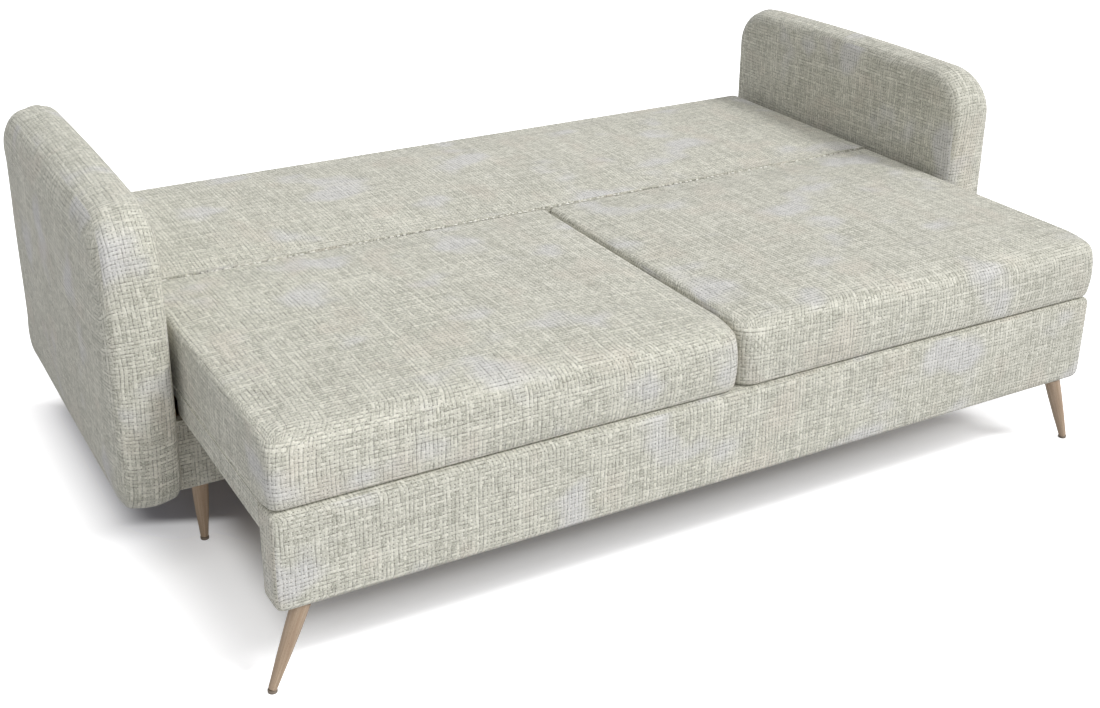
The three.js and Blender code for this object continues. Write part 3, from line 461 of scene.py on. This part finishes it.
class Padding:
    """A padded form over a rounded rectangle, as rings of points that rise up its side, closed by a patch
    above and below. u and v lie in its plane and w is its thickness."""

    def __init__(self, half_u, half_v, depth, low, high, edge, seam_edge=None, under_edge=None,
                 seam_under=None, crown=0.0, draw_in=0.0, bow=0.0, bulge=0.0, away=None, cell=12 * MM,
                 walls=4, tops=5, unders=3):
        """low and high are the plan radii on the low and high side. edge and under_edge are the roundings
        above and below. crown rises in the middle, sides draw in by draw_in and bulge in the middle of their
        height. away gives the edge, the under edge and the bulge that the form has away from its low side.
        seam_edge, seam_under and bow are the high side's. cell is the grid's step, and walls, tops and
        unders count the rings."""
        seam_edge = edge if seam_edge is None else seam_edge
        under_edge = edge if under_edge is None else under_edge
        self.across = 2 * round(half_u / cell)
        self.along = round(2 * half_v / cell)
        low, high = (np.broadcast_to(radius, 2) for radius in (low, high))
        outline = rounded_outline(half_u, half_v, low, high, self.across, self.along)
        points, normals, pull, self.lengths = outline
        behind = smooth_share((points[:, 1] + half_v - AWAY_FROM) / (AWAY_TO - AWAY_FROM))
        side_edge, under, tuck = (near + (far - near) * behind for near, far in
                                  zip((edge, under_edge, bulge), away or (edge, under_edge, bulge)))
        edge_v = np.where(points[:, 1] > 0, seam_edge, edge)
        if seam_under is not None:
            facing_high = np.where(points[:, 1] > 0, normals[:, 1] ** 2, 0.0)
            under = under + (seam_under - under) * facing_high
        drop = side_edge * normals[:, 0] ** 2 + edge_v * normals[:, 1] ** 2
        half, edges = np.array([half_u, half_v]), np.stack([side_edge, edge_v], axis=-1)

        def swell(u, v):
            """crown times (1 - u^2 / U^2) times (1 - v^2 / V^2)"""
            return crown * (1 - (u / half_u) ** 2) * (1 - (v / half_v) ** 2)

        drawn = np.where(normals[:, 1] > 0.5, -bow, draw_in) * pull

        def ring(share, widths, tucked, height):
            """The outline, narrowed by this share of the widths and by the tuck, at this height."""
            flat = points * (1 - (share * widths + tucked[:, None]) / half) - normals * drawn[:, None]
            return np.column_stack([flat, np.broadcast_to(height, len(flat))])

        rings = []
        for turn in np.linspace(0, math.pi / 2, unders + 1):
            rings.append(ring(1 - math.sin(turn), under[:, None], tuck, under * (1 - math.cos(turn))))
        for rise in np.arange(1, walls + 1) / (walls + 1):
            height = under + rise * (depth - crown - drop - under)
            rings.append(ring(0.0, 0.0, tuck * (2 * rise - 1) ** 2, height))
        for turn in np.linspace(0, math.pi / 2, tops + 1):
            made = ring(1 - math.cos(turn), edges, tuck, depth - crown - drop * (1 - math.sin(turn)))
            made[:, 2] += swell(made[:, 0], made[:, 1]) * math.sin(turn)
            rings.append(made)
        self.rings = np.array(rings)
        above, below = (patch(made, self.across, self.along) for made in (self.rings[-1], self.rings[0]))
        above[1:-1, 1:-1, 2] = depth - crown + swell(above[1:-1, 1:-1, 0], above[1:-1, 1:-1, 1])
        self.above, self.below, self.normals = above, below, normals
        self.top_rings = tops // 2
        self.under_rings = unders // 2

    def mesh(self):
        """vertices, quads and the cloth's coordinates in metres at each quad's corners.

        The cloth runs flat over the top patch and on over its edge. The band round the side is laid along the
        outline's length, and meets the top without a break along the front."""
        count, levels = len(self.normals), len(self.rings)
        inner = (self.across - 1) * (self.along - 1)
        vertices = np.concatenate([self.rings.reshape(-1, 3), self.above[1:-1, 1:-1].reshape(-1, 3),
                                   self.below[1:-1, 1:-1].reshape(-1, 3)])
        ids = np.arange(levels * count).reshape(levels, count)

        steps = np.linalg.norm(np.diff(self.rings, axis=0), axis=2)
        from_top = np.concatenate([np.cumsum(steps[::-1], axis=0)[::-1], np.zeros((1, count))])
        from_under = from_top[0] - from_top
        top_flat = self.rings[-1, :, :2] + self.normals * from_top[..., None]
        under_flat = self.rings[0, :, :2] + self.normals * from_under[..., None]
        front = -self.rings[-1, np.argmin(self.rings[-1, :, 1]), 1]
        self.side_cloth = np.stack(np.broadcast_arrays(self.lengths - self.lengths[-1] / 2,
                                                       -front - closed_round(from_top)), axis=-1)
        band_uv, top_uv = cells(self.side_cloth), cells(closed_round(top_flat))
        band_uv[-self.top_rings:] = top_uv[-self.top_rings:]
        band_uv[:self.under_rings] = cells(closed_round(under_flat))[:self.under_rings] * (-1, 1)

        def cap(ring_ids, first, flat, flip):
            """The patch's quads and cloth. Its rim lies on the ring, its inner points count from first."""
            left, fore = self.across // 2, self.across // 2 + self.along
            right = fore + self.across
            closed = np.append(ring_ids, ring_ids[0])
            grid = np.empty((self.across + 1, self.along + 1), dtype=int)
            grid[1:-1, 1:-1] = first + np.arange(inner).reshape(self.across - 1, self.along - 1)
            grid[:, 0] = closed[fore:right + 1]
            grid[0] = closed[left:fore + 1][::-1]
            grid[-1] = closed[right:right + self.along + 1]
            grid[:, -1] = np.concatenate([closed[right + self.along:-1], closed[:left + 1]])[::-1]
            # Corners by their place in cells(): the other way round above, where the patch faces up
            order = [1, 2, 3, 0] if flip else [0, 3, 2, 1]
            laid = flat[..., :2] * ((-1, 1) if flip else (1, 1))
            return cells(grid)[:, :, order].reshape(-1, 4), cells(laid)[:, :, order].reshape(-1, 4, 2)

        top, top_cap_uv = cap(ids[-1], levels * count, self.above, False)
        under, under_cap_uv = cap(ids[0], levels * count + inner, self.below, True)
        quads = np.concatenate([cells(closed_round(ids)).reshape(-1, 4), top, under])
        uvs = np.concatenate([band_uv.reshape(-1, 4, 2), top_cap_uv, under_cap_uv])
        return vertices, quads, uvs


CLOTH_PRESSURE = 4.0
CLOTH_FRAMES = 20
CLOTH_QUALITY = 5
CLOTH_MASS = 0.3
INWARD_SHARE = 0.25


def plump(piece, pinned, cap):
    """Blows up a padded cover with cloth simulation and keeps the result. A point moves by the simulated
    shift d, held to cap * tanh(|d| / cap), and by only INWARD_SHARE of that where it would draw in, as the
    foam under the cover holds the edges out."""
    mesh = piece.data
    rest = read(mesh.vertices, "co", 3)
    held = piece.vertex_groups.new(name="held")
    held.add(np.flatnonzero(pinned).tolist(), 1.0, "REPLACE")
    cloth = piece.modifiers.new("cloth", "CLOTH")
    cloth.settings.quality = CLOTH_QUALITY
    cloth.settings.mass = CLOTH_MASS
    cloth.settings.use_pressure = True
    cloth.settings.uniform_pressure_force = CLOTH_PRESSURE
    cloth.settings.vertex_group_mass = "held"
    cloth.settings.effector_weights.gravity = 0.0
    cloth.point_cache.frame_start = 1
    cloth.point_cache.frame_end = CLOTH_FRAMES
    scene = bpy.context.scene
    for frame_number in range(1, CLOTH_FRAMES + 1):
        scene.frame_set(frame_number)
    blown = read(piece.evaluated_get(bpy.context.evaluated_depsgraph_get()).data.vertices, "co", 3)
    piece.modifiers.remove(cloth)
    piece.vertex_groups.remove(held)
    scene.frame_set(1)
    shift = blown - rest
    size = np.linalg.norm(shift, axis=1, keepdims=True)
    along = (shift * read(mesh.vertices, "normal", 3)).sum(axis=1, keepdims=True)
    kept = np.where(along < 0, INWARD_SHARE, 1.0)
    moved = rest + shift * (kept * cap * np.tanh(size / cap) / np.maximum(size, 1e-9))
    mesh.vertices.foreach_set("co", moved.astype(np.float32).ravel())
    mesh.update()


SLACK = 1.5 * MM              # a padded form starts this much smaller than its solid, and swells to it
SWELLING = 6 * MM             # the most that a point of a cushion may move
TIGHT_SWELLING = 2 * MM       # the same where the cloth is drawn tight over a board
PINNED_BELOW = 1 * MM         # points of the underside, which rests on its board


def upholstered(name, node, padding, axes, origin, weave_start, cap=SWELLING, warp_along=False):
    """A padded piece: its form, turned to axes and moved to origin, blown up and smoothed. The warp
    runs along v, or with warp_along along u. weave_start sets pieces apart in the cloth's patches."""
    vertices, quads, uvs = padding.mesh()
    if warp_along:
        uvs = uvs[..., ::-1]
    placed = vertices @ np.array(axes, dtype=float) + np.array(origin)
    piece = make_piece(name, placed, quads, UPHOLSTERY, "weave", uvs + np.array(weave_start))
    plump(piece, vertices[:, 2] < PINNED_BELOW, cap)
    smooth = piece.modifiers.new("smooth", "SUBSURF")
    smooth.levels = smooth.render_levels = 1
    stand_for(piece, node)
    return piece


MEETING = 1.5 * MM            # the seat cushions and the back reach this much nearer to each other
INWARD = 3.2 * MM             # the seat cushions reach this much further towards each other
OUTER_CORNER = 18 * MM
INNER_CORNER = {-1: 20 * MM, 1: 38 * MM}          # by side: the photograph shows the right one rounder
CUSHION_FORM = dict(high=4 * MM, edge=36 * MM, seam_edge=1.5 * MM, under_edge=16 * MM, crown=7 * MM,
                    draw_in=2 * MM, bulge=4 * MM, away=(14 * MM, 0.5 * MM, 0.6 * MM), walls=7, tops=6,
                    unders=4)


def make_cushions():
    """The two seat cushions. Returns, by side, the cloth's coordinates low on the cushion's outer side, and
    the y and z of that place, so that the skirt below goes on with the same cloth."""
    cloth_at_side = {}
    for word, side in SIDES:
        low, high, middle, half = box_of(f"seat_cushion_{word}")
        form = Padding(half[0] - SLACK + INWARD / 2, half[1] + MEETING, high[2] - low[2] - SLACK,
                       low=(INNER_CORNER[side], OUTER_CORNER)[::side], **CUSHION_FORM)
        start = (0.31 * side, 0.17 + 0.23 * side)
        upholstered(f"cushion_{word}", f"seat_cushion_{word}", form, np.eye(3),
                    (middle[0] - side * INWARD / 2, middle[1], low[2]), start)
        outer = np.flatnonzero(form.normals[:, 0] * side > 0.999)
        foot = (CUSHION_FORM["unders"], outer[len(outer) // 2])
        _, along, up = form.rings[foot]
        cloth_at_side[side] = (form.side_cloth[foot] + np.array(start), (along + middle[1], up + low[2]))
    return cloth_at_side


STITCH_PITCH = 16 * MM
STITCH_RADIUS = 1.9 * MM
STITCH_LEAST = (-0.3, -0.4, 3.0, 0)     # step along the row in pitches, turn, half length in mm, luck
STITCH_MOST = (0.3, 0.4, 6.5, 1)
STITCH_MISSED_SHARE = 0.15              # no stitch shows where the luck is under this
STITCH_INSET = 2.0 * MM                 # from the back's front face
STITCHES_END = 12 * MM                  # from the back's ends
STITCH_TIP = 0.12                       # angle at which the ellipsoid's ends are left open
STITCH_GRID = (8, 7)                    # points round a stitch and along it


def make_stitches(cushion, row, reach):
    """A row of loose pale stitches along an edge at y = row. Each is an ellipsoid: the point at the angles a
    round it and b along it lies at (half length cos b, radius sin b cos a, radius sin b sin a), turned about
    the vertical, where a ray from above meets the padding."""
    bpy.context.view_layer.update()
    surface = BVHTree.FromObject(cushion, bpy.context.evaluated_depsgraph_get())
    shuffled = np.random.default_rng(5)
    around, along = STITCH_GRID
    a, b = np.meshgrid(np.arange(around) / around * 2 * math.pi,
                       np.linspace(STITCH_TIP, math.pi - STITCH_TIP, along))
    ids = np.arange(a.size).reshape(a.shape)
    faces = cells(closed_round(ids).T).reshape(-1, 4)
    vertices, quads = [], []
    for x in np.arange(-reach, reach, STITCH_PITCH):
        step, turn, length, luck = shuffled.uniform(STITCH_LEAST, STITCH_MOST)
        x += step * STITCH_PITCH
        met = surface.ray_cast((x, row, 1.0), (0, 0, -1))[0]
        if met is None or luck < STITCH_MISSED_SHARE:
            continue
        run = length * MM * np.cos(b)
        off, up = STITCH_RADIUS * np.sin(b) * np.cos(a), STITCH_RADIUS * np.sin(b) * np.sin(a)
        placed = (x + run * math.cos(turn) - off * math.sin(turn),
                  row + run * math.sin(turn) + off * math.cos(turn), met.z + up)
        quads.append(faces + len(vertices) * a.size)
        vertices.append(np.stack(placed, axis=-1).reshape(-1, 3))
    stitches = make_piece("back_stitches", np.concatenate(vertices), np.concatenate(quads), THREAD)
    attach(stitches, "back")


BACK_FORM = dict(low=8 * MM, high=4 * MM, edge=18 * MM, seam_edge=1.5 * MM, under_edge=8 * MM,
                 crown=7 * MM, draw_in=2 * MM, bulge=3 * MM, away=(18 * MM, 8 * MM, 0.6 * MM),
                 cell=14 * MM, walls=6, tops=6, unders=3)


def make_back():
    """The back's long cushion, with its high side at the seat, and the stitches along that edge."""
    low, high, middle, half = box_of("back_pad")
    form = Padding(half[0] - SLACK, half[1] + MEETING, high[2] - low[2] - SLACK, **BACK_FORM)
    axes = [[-1, 0, 0], [0, -1, 0], [0, 0, 1]]
    cushion = upholstered("back_cushion", "back_pad", form, axes, (middle[0], middle[1], low[2]),
                          (0.83, 0.41))
    make_stitches(cushion, middle[1] - half[1] - MEETING + STITCH_INSET, half[0] - STITCHES_END)


ARM_FRONT_CORNER, ARM_REAR_CORNER = 104 * MM, 96 * MM
ARM_LONGER = 5 * MM           # at each end, than the solid
ARM_TALLER = 8 * MM           # above and below, before the form is raised
ARM_RAISED = 5 * MM
ARM_FORM = dict(low=57 * MM, edge=26 * MM, seam_edge=54 * MM, under_edge=20 * MM, seam_under=30 * MM,
                crown=6 * MM, bow=5 * MM, bulge=4 * MM, cell=14 * MM, walls=5, tops=8, unders=7)


def make_arms():
    """The arms: forms that stand on their low side, with the crown outwards and the top as the high side."""
    for word, side in SIDES:
        low, high, middle, half = box_of(f"arm_pad_{word}")
        inner = low[0] if side > 0 else high[0]
        form = Padding(half[1] + ARM_LONGER, half[2] + ARM_TALLER, 2 * half[0] - SLACK,
                       high=(ARM_FRONT_CORNER, ARM_REAR_CORNER)[::side], **ARM_FORM)
        axes = [[0, side, 0], [0, 0, 1], [side, 0, 0]]
        upholstered(f"arm_{word}", f"arm_pad_{word}", form, axes, (inner, middle[1], middle[2] + ARM_RAISED),
                    (0.57 * side, 0.29), warp_along=True)


DECK_INSET = 1.8 * MM         # of the apron's and the skirts' cloth from the ends of their solids
APRON_SETBACK = 2.5 * MM
APRON_SHORTER = 0.3 * MM      # at its upper and its lower edge
APRON_FORM = dict(low=14 * MM, high=8 * MM, edge=12 * MM, under_edge=1 * MM, crown=1 * MM, walls=4, tops=5,
                  unders=2)


def make_apron():
    """The padded front board, with its crown to the front."""
    low, high, middle, half = box_of("apron_cover")
    form = Padding(half[0] - DECK_INSET, half[2] - APRON_SHORTER, 2 * half[1] - APRON_SETBACK, **APRON_FORM)
    axes = [[1, 0, 0], [0, 0, 1], [0, -1, 0]]
    upholstered("apron", "apron_cover", form, axes, (middle[0], high[1], middle[2]), (0.11, 0.66),
                cap=TIGHT_SWELLING)


# Turned legs
LEG_STEPS = 24
LEG_TURNS = 48
LEG_TOP_RADIUS = 17.5 * MM
LEG_FOOT_RADIUS = 8 * MM
LEG_FOOT_RINGS = ((0.4 * MM, 3 * MM), (0.05 * MM, 6.6 * MM), (0.7 * MM, 7.8 * MM))    # height and radius
LEG_LENGTH_SHARES = (0, 0.35, 0.7, 1)
LEG_SWELL_SHARES = (0, 0.44, 0.80, 1)   # of the way from the foot's radius to the top's
LEG_ABOVE_FLOOR = 6.3 * MM
LEG_TOP_GAP = 0.3 * MM                  # under the board that it is screwed to
LEG_LEAN = 1 * MM                       # of a splayed leg's top, to the rear
LEG_SHARP_ANGLE = math.radians(40)


def revolve(profile, foot, top):
    """A round form about the line from foot to top: the point at height h on the profile lies h along the
    line and r from it, at each of the turns. Returns vertices, quads, and uvs along and round it."""
    heights, radii = np.array(profile).T
    axis = (top - foot) / np.linalg.norm(top - foot)
    across = np.cross(axis, (0, 1, 0))
    across /= np.linalg.norm(across)
    up = np.cross(axis, across)
    angle = np.arange(LEG_TURNS) / LEG_TURNS * 2 * math.pi
    round_it = np.cos(angle)[:, None] * across + np.sin(angle)[:, None] * up
    vertices = foot + heights[:, None, None] * axis + radii[:, None, None] * round_it
    ids = np.arange(len(heights) * LEG_TURNS).reshape(len(heights), LEG_TURNS)
    u = np.arange(LEG_TURNS + 1) / LEG_TURNS * 2 * math.pi * radii.max()
    place = np.stack(np.broadcast_arrays(u[None], heights[:, None]), axis=-1)
    return vertices.reshape(-1, 3), cells(closed_round(ids)).reshape(-1, 4), cells(place).reshape(-1, 4, 2)


def close_ends(piece):
    """Fills the small rings at both ends and turns every face outwards."""
    mesh = bmesh.new()
    mesh.from_mesh(piece.data)
    rims = [edge for edge in mesh.edges if edge.is_boundary]
    bmesh.ops.holes_fill(mesh, edges=rims, sides=0)
    bmesh.ops.recalc_face_normals(mesh, faces=mesh.faces)
    mesh.to_mesh(piece.data)
    mesh.free()
    shade_smooth(piece.data, LEG_SHARP_ANGLE)


def make_legs():
    """The base's four upright legs, and the seat's two, which splay from the top of their solid."""
    names = [f"{place}_{word}" for place in ("base_front", "base_rear", "seat") for word, _ in SIDES]
    for name in names:
        low, high, middle, _ = box_of(f"{name}_leg")
        glide_low, _, glide, _ = box_of(f"{name}_glide")
        if name.startswith("seat"):
            top_x = high[0] - LEG_TOP_RADIUS if middle[0] < 0 else low[0] + LEG_TOP_RADIUS
            top_y, under = glide[1] + LEG_LEAN, box_of("apron_cover")[0][2]
        else:
            top_x, top_y, under = middle[0], glide[1], box_of("base_front_cover")[0][2]
        top = np.array([top_x, top_y, under - LEG_TOP_GAP])
        foot = np.array([glide[0], glide[1], glide_low[2] + LEG_ABOVE_FLOOR])
        share = np.linspace(0, 1, LEG_STEPS)
        swell = np.interp(share, LEG_LENGTH_SHARES, LEG_SWELL_SHARES)
        radii = LEG_FOOT_RADIUS + (LEG_TOP_RADIUS - LEG_FOOT_RADIUS) * swell
        heights = share * np.linalg.norm(top - foot)
        vertices, quads, uvs = revolve([*LEG_FOOT_RINGS, *zip(heights[1:], radii[1:])], foot, top)
        piece = make_piece(f"{name}_turned_leg", vertices, quads, BEECH, "grain", uvs)
        close_ends(piece)
        stand_for(piece, f"{name}_leg")


# Boards, steel and fittings: copies of the solids with eased edges
DOUBLES = 0.005 * MM
FLAT_ANGLE = math.radians(0.5)


def eased(node, material, ease, steps=2, name=None):
    """A copy of a solid with its doubles merged, its flat faces made whole and its edges eased."""
    source = frame["nodes"][node]
    copy = bmesh.new()
    copy.from_mesh(source.data)
    bmesh.ops.remove_doubles(copy, verts=copy.verts, dist=DOUBLES)
    bmesh.ops.dissolve_limit(copy, angle_limit=FLAT_ANGLE, verts=copy.verts, edges=copy.edges)
    mesh = bpy.data.meshes.new(name or f"{node}_finished")
    copy.to_mesh(mesh)
    copy.free()
    mesh.materials.clear()
    mesh.materials.append(material)
    shade_smooth(mesh, SHARP_ANGLE)
    piece = place_object(mesh.name, mesh)
    if ease:
        bevel = piece.modifiers.new("ease", "BEVEL")
        bevel.width = ease
        bevel.segments = steps
        bevel.limit_method = "ANGLE"
        bevel.angle_limit = SHARP_ANGLE
    stand_for(piece, node)
    return piece


def lay_weave(piece, start):
    """The cloth's coordinates by the way that each face looks: x and y above, x and z in front, y and z at
    the sides, all in metres."""
    mesh = piece.data
    totals = read(mesh.polygons, "loop_total", dtype=np.int32)
    facing = np.repeat(np.abs(read(mesh.polygons, "normal", 3)).argmax(axis=1), totals)
    place = read(mesh.vertices, "co", 3)[read(mesh.loops, "vertex_index", dtype=np.int32)]
    flat = np.where((facing == 0)[:, None], place[:, [1, 2]],
                    np.where((facing == 1)[:, None], place[:, [0, 2]], place[:, [0, 1]]))
    laid = (flat + np.array(start)).astype(np.float32)
    mesh.uv_layers.new(name="weave").data.foreach_set("uv", laid.ravel())


DECK_THICKNESS = 19.7 * MM
DECK_LIFT = 0.3 * MM          # of its top above the solid's, where the cushions rest on it
SKIRT_THICKNESS = 18 * MM
SKIRT_CORNER = 12 * MM
SKIRT_CORNER_POINTS = 7
SKIRT_BEHIND_ARM = 50 * MM
SKIRT_EASE = 3 * MM
SEAM_REACH = 0.01 * MM        # points of the deck this near to each other are merged
NEAR = 0.1 * MM


def make_deck(cloth_at_side):
    """The covered deck with its side skirts: one outline, seen from the side, carried from end to end.
    Between the skirts the lower part of the outline lies flat under the board. The skirts' outer rear edges
    are eased, and their cloth goes on from the cushions' sides."""
    low, high, _, _ = box_of("seat_deck")
    front, rear, top, under = low[1], high[1], high[2] + DECK_LIFT, high[2] - DECK_THICKNESS
    end = box_of("arm_pad_left")[0][1] + SKIRT_BEHIND_ARM
    quarter = unit(np.linspace(-math.pi / 2, 0, SKIRT_CORNER_POINTS))
    bend = np.array([end, low[2]]) + SKIRT_CORNER * ((-1, 1) + quarter)
    skirt = np.array([[front, low[2]], *bend, [end, under], [rear, under], [rear, top], [front, top],
                      [front, under]])
    flat = np.column_stack([skirt[:, 0], np.maximum(skirt[:, 1], under)])
    outer = high[0] - DECK_INSET
    inner = outer - SKIRT_THICKNESS
    rings = ((-outer, skirt), (-inner, skirt), (-inner, flat), (inner, flat), (inner, skirt), (outer, skirt))
    vertices = np.concatenate([np.column_stack([np.full(len(ring), x), ring]) for x, ring in rings])
    ids = np.arange(len(vertices)).reshape(len(rings), -1)
    piece = make_piece("deck_cloth", vertices, cells(closed_round(ids)).reshape(-1, 4), UPHOLSTERY)
    mesh = bmesh.new()
    mesh.from_mesh(piece.data)
    mesh.verts.ensure_lookup_table()
    for ring in (ids[0], ids[-1]):
        mesh.faces.new([mesh.verts[i] for i in ring])
    bmesh.ops.remove_doubles(mesh, verts=mesh.verts, dist=SEAM_REACH)
    bmesh.ops.recalc_face_normals(mesh, faces=mesh.faces)
    weight = mesh.edges.layers.float.new("bevel_weight_edge")
    for edge in mesh.edges:
        x, y, z = np.array([vertex.co for vertex in edge.verts]).T
        if np.abs(x).min() > outer - NEAR and z.max() < under + NEAR and y.max() > front + NEAR:
            edge[weight] = float(np.ptp(x) < NEAR and z.min() < under - NEAR)
    mesh.to_mesh(piece.data)
    mesh.free()
    shade_smooth(piece.data, SHARP_ANGLE)
    lay_weave(piece, (0, 0))
    cloth = piece.data.uv_layers["weave"].data
    for polygon in piece.data.polygons:
        if abs(polygon.normal.x) > 0.9:
            side = 1 if polygon.center.x > 0 else -1
            (u, v), (y, z) = cloth_at_side[side]
            for loop in polygon.loop_indices:
                place = piece.data.vertices[piece.data.loops[loop].vertex_index].co
                cloth[loop].uv = (u + side * (place.y - y), v + place.z - z)
    bevel = piece.modifiers.new("ease", "BEVEL")
    bevel.width = SKIRT_EASE
    bevel.segments = 3
    bevel.limit_method = "WEIGHT"
    stand_for(piece, "seat_deck")


COVER_EASE = 0.9 * MM


def make_base_covers():
    """The cloth on the base's front and rear rail, stretched and stapled."""
    for number, node in enumerate(["base_front_cover", "base_rear_cover"]):
        piece = eased(node, UPHOLSTERY, COVER_EASE, steps=3, name=f"{node}_cloth")
        lay_weave(piece, (0.37 * number, 0.21 * number))


BOARDS_ACROSS = {"base_floor", "base_front_rail", "base_rear_rail", "seat_front_rail", "seat_rear_rail",
                 "apron_core", "back_board"}
BOARD_EASE = 1.0 * MM
CORE_DEPTH = 12 * MM          # how far the board inside the apron lies under its cover
FITTINGS = {                  # by slot: material, width of the eased edges and their steps
    "mechanism_steel": (STEEL, 0.5 * MM, 2),
    "fastener": (ZINC, 0.4 * MM, 2),
    "glide": (PLASTIC, 0.8 * MM, 3),
}


def make_frame():
    """The boards, the steel and the fittings, as their solids are, and the cloth under the back."""
    for node, slot in SLOT_OF.items():
        if slot == "frame_board":
            piece = eased(node, BOARDS_X if node in BOARDS_ACROSS else BOARDS_Y, BOARD_EASE)
            if node == "apron_core":
                low, high, _, _ = box_of("apron_cover")
                held = (low + CORE_DEPTH, (high[0] - CORE_DEPTH, high[1], high[2] - CORE_DEPTH))
                for vertex in piece.data.vertices:
                    vertex.co = np.clip(vertex.co, *held)
        elif slot in FITTINGS:
            eased(node, *FITTINGS[slot])
    lining = eased("back_dust_cover", LINING, 0)
    low, high, _, _ = box_of("back_dust_cover")


# Floor, background and light
FLOOR_HALF = 12.0
# The paper glows for the camera in front of the sofa bed, beside it and behind it, and less the nearer a
# place is to what stands on it. This glow is painted light that washes out the cast shadows round the sofa
# bed, and where it falls off it leaves a painted shade underneath. Each line gives where a soft edge starts
# and ends, in metres out from the middle or ahead of it, and the glow there.
GLOW_NEAR_SIDE = (0.82, 0.92, 0.02, 0.38)
GLOW_FAR_SIDE = (0.95, 1.12, 0.0, 0.34)
GLOW_NEAR_FRONT = (0.44, 0.515, 0.02, 0.27)
GLOW_FAR_FRONT = (0.55, 0.60, 0.0, 0.45)
GLOW_BEHIND = (-0.55, -0.72, 0.0, 0.72)
ARM_SHADE = (0.08, -0.03)     # from here to the rear the side's edges lie further out, under the arms,
ARM_SHADE_REACH = (-0.17, -0.085)       # by this much for the near and the far one
# Painted shade: within these bounds, under the base, the paper that the camera sees is painted darker
PAINTED_SHADE_OUT, PAINTED_SHADE_FRONT, PAINTED_SHADE_REAR = (1.16, 0.98), (0.22, 0.0), (-0.70, -0.56)     # darker, under the base


def make_floor():
    """A floor with painted light and shade. Light falls on a grey one, and the camera sees white paper in its
    place, which glows by place and is painted darker under the base.
    """
    half = FLOOR_HALF
    corners = np.array([[-half, -half, 0], [half, -half, 0], [half, half, 0], [-half, half, 0]])
    material, tree = start_material("floor_with_painted_shade")
    rays = add(tree, "LightPath")
    lit = add(tree, "BsdfDiffuse", {"Color": "#d4d4d6"})
    place = add(tree, "SeparateXYZ", [add(tree, "TexCoord").outputs["Object"]])
    out = add(tree, "Math", [place.outputs[0]], operation="ABSOLUTE")
    ahead = add(tree, "Math", (place.outputs[1], -1.0), operation="MULTIPLY")
    arm = add(tree, "MapRange", (ahead, *ARM_SHADE), **SMOOTH)
    near_out, far_out = (add(tree, "Math", (arm, reach, out), operation="MULTIPLY_ADD")
                         for reach in ARM_SHADE_REACH)
    edges = ((near_out, GLOW_NEAR_SIDE), (far_out, GLOW_FAR_SIDE), (ahead, GLOW_NEAR_FRONT),
             (ahead, GLOW_FAR_FRONT), (ahead, GLOW_BEHIND), (out, PAINTED_SHADE_OUT), (ahead, PAINTED_SHADE_FRONT),
             (ahead, PAINTED_SHADE_REAR))
    near_side, far_side, near_front, far_front, behind, within_side, within_front, within_rear = (
        add(tree, "MapRange", (value, *edge), **SMOOTH) for value, edge in edges)
    lengthwise = add(tree, "Math", (within_front, within_rear), operation="MULTIPLY")
    painted_shade_share = add(tree, "Math", (within_side, lengthwise), operation="MULTIPLY")
    # Painted shade: the paper's colour turns darker under the base
    white = add(tree, "Mix", {0: painted_shade_share, 6: "#f8f8fa", 7: "#a0a2ae"}, data_type="RGBA")
    # Painted light: the glow's strength by place, lower near the sofa bed, which paints its shade there
    beside = add(tree, "Math", (near_side, far_side), operation="ADD")
    before = add(tree, "Math", (near_front, far_front), operation="ADD")
    lengthwise_glow = add(tree, "Math", (before, behind), operation="MAXIMUM")
    strength = add(tree, "Math", (beside, lengthwise_glow), operation="MAXIMUM")
    paper = add(tree, "BsdfDiffuse", {"Color": white})
    glow = add(tree, "Emission", {"Color": (1, 1, 1, 1), "Strength": strength})
    seen = add(tree, "AddShader", (paper, glow))
    mixed = add(tree, "MixShader", (rays.outputs["Is Camera Ray"], lit, seen))
    add(tree, "OutputMaterial", {"Surface": mixed})
    make_piece("floor", corners, np.array([[0, 1, 2, 3]]), material)


AMBIENT = 0.40
SUNS = (                      # name, where it shines from, strength, width in degrees
    ("key", (0.557, -0.75, 1.0), 1.46, 15),
    ("top_fill", (-0.25, 0.15, 1.0), 0.40, 40),
    ("front_fill", (0.10, -1.0, 0.42), 0.78, 60),
    ("side_fill", (1.65, -0.3, 1.0), 0.22, 40),
)


def make_light():
    """Four suns and a dim even world, which the camera, gloss and glass see as white."""
    world = bpy.data.worlds.new("studio")
    bpy.context.scene.world = world
    world.use_nodes = True
    tree = world.node_tree
    tree.nodes.clear()
    rays = add(tree, "LightPath").outputs
    sharp = add(tree, "Math", (rays["Is Glossy Ray"], rays["Is Transmission Ray"]), operation="MAXIMUM")
    seen = add(tree, "Math", (rays["Is Camera Ray"], sharp), operation="MAXIMUM")
    around, white = (add(tree, "Background", {"Color": (1, 1, 1, 1), "Strength": level})
                     for level in (AMBIENT, 1.0))
    add(tree, "OutputWorld", {"Surface": add(tree, "MixShader", (seen, around, white))})
    for name, (x, y, z), strength, width in SUNS:
        data = bpy.data.lights.new(name, "SUN")
        data.energy = strength
        data.angle = math.radians(width)
        turned = (math.atan2(math.hypot(x, y), z), 0, math.atan2(y, x) + math.pi / 2)
        place_object(name, data).rotation_euler = turned


cloth_beside_seat = make_cushions()
make_back()
make_arms()
make_apron()
make_deck(cloth_beside_seat)
make_base_covers()
make_legs()
make_frame()
make_floor()
make_light()

bpy.context.scene.view_settings.view_transform = "Standard"
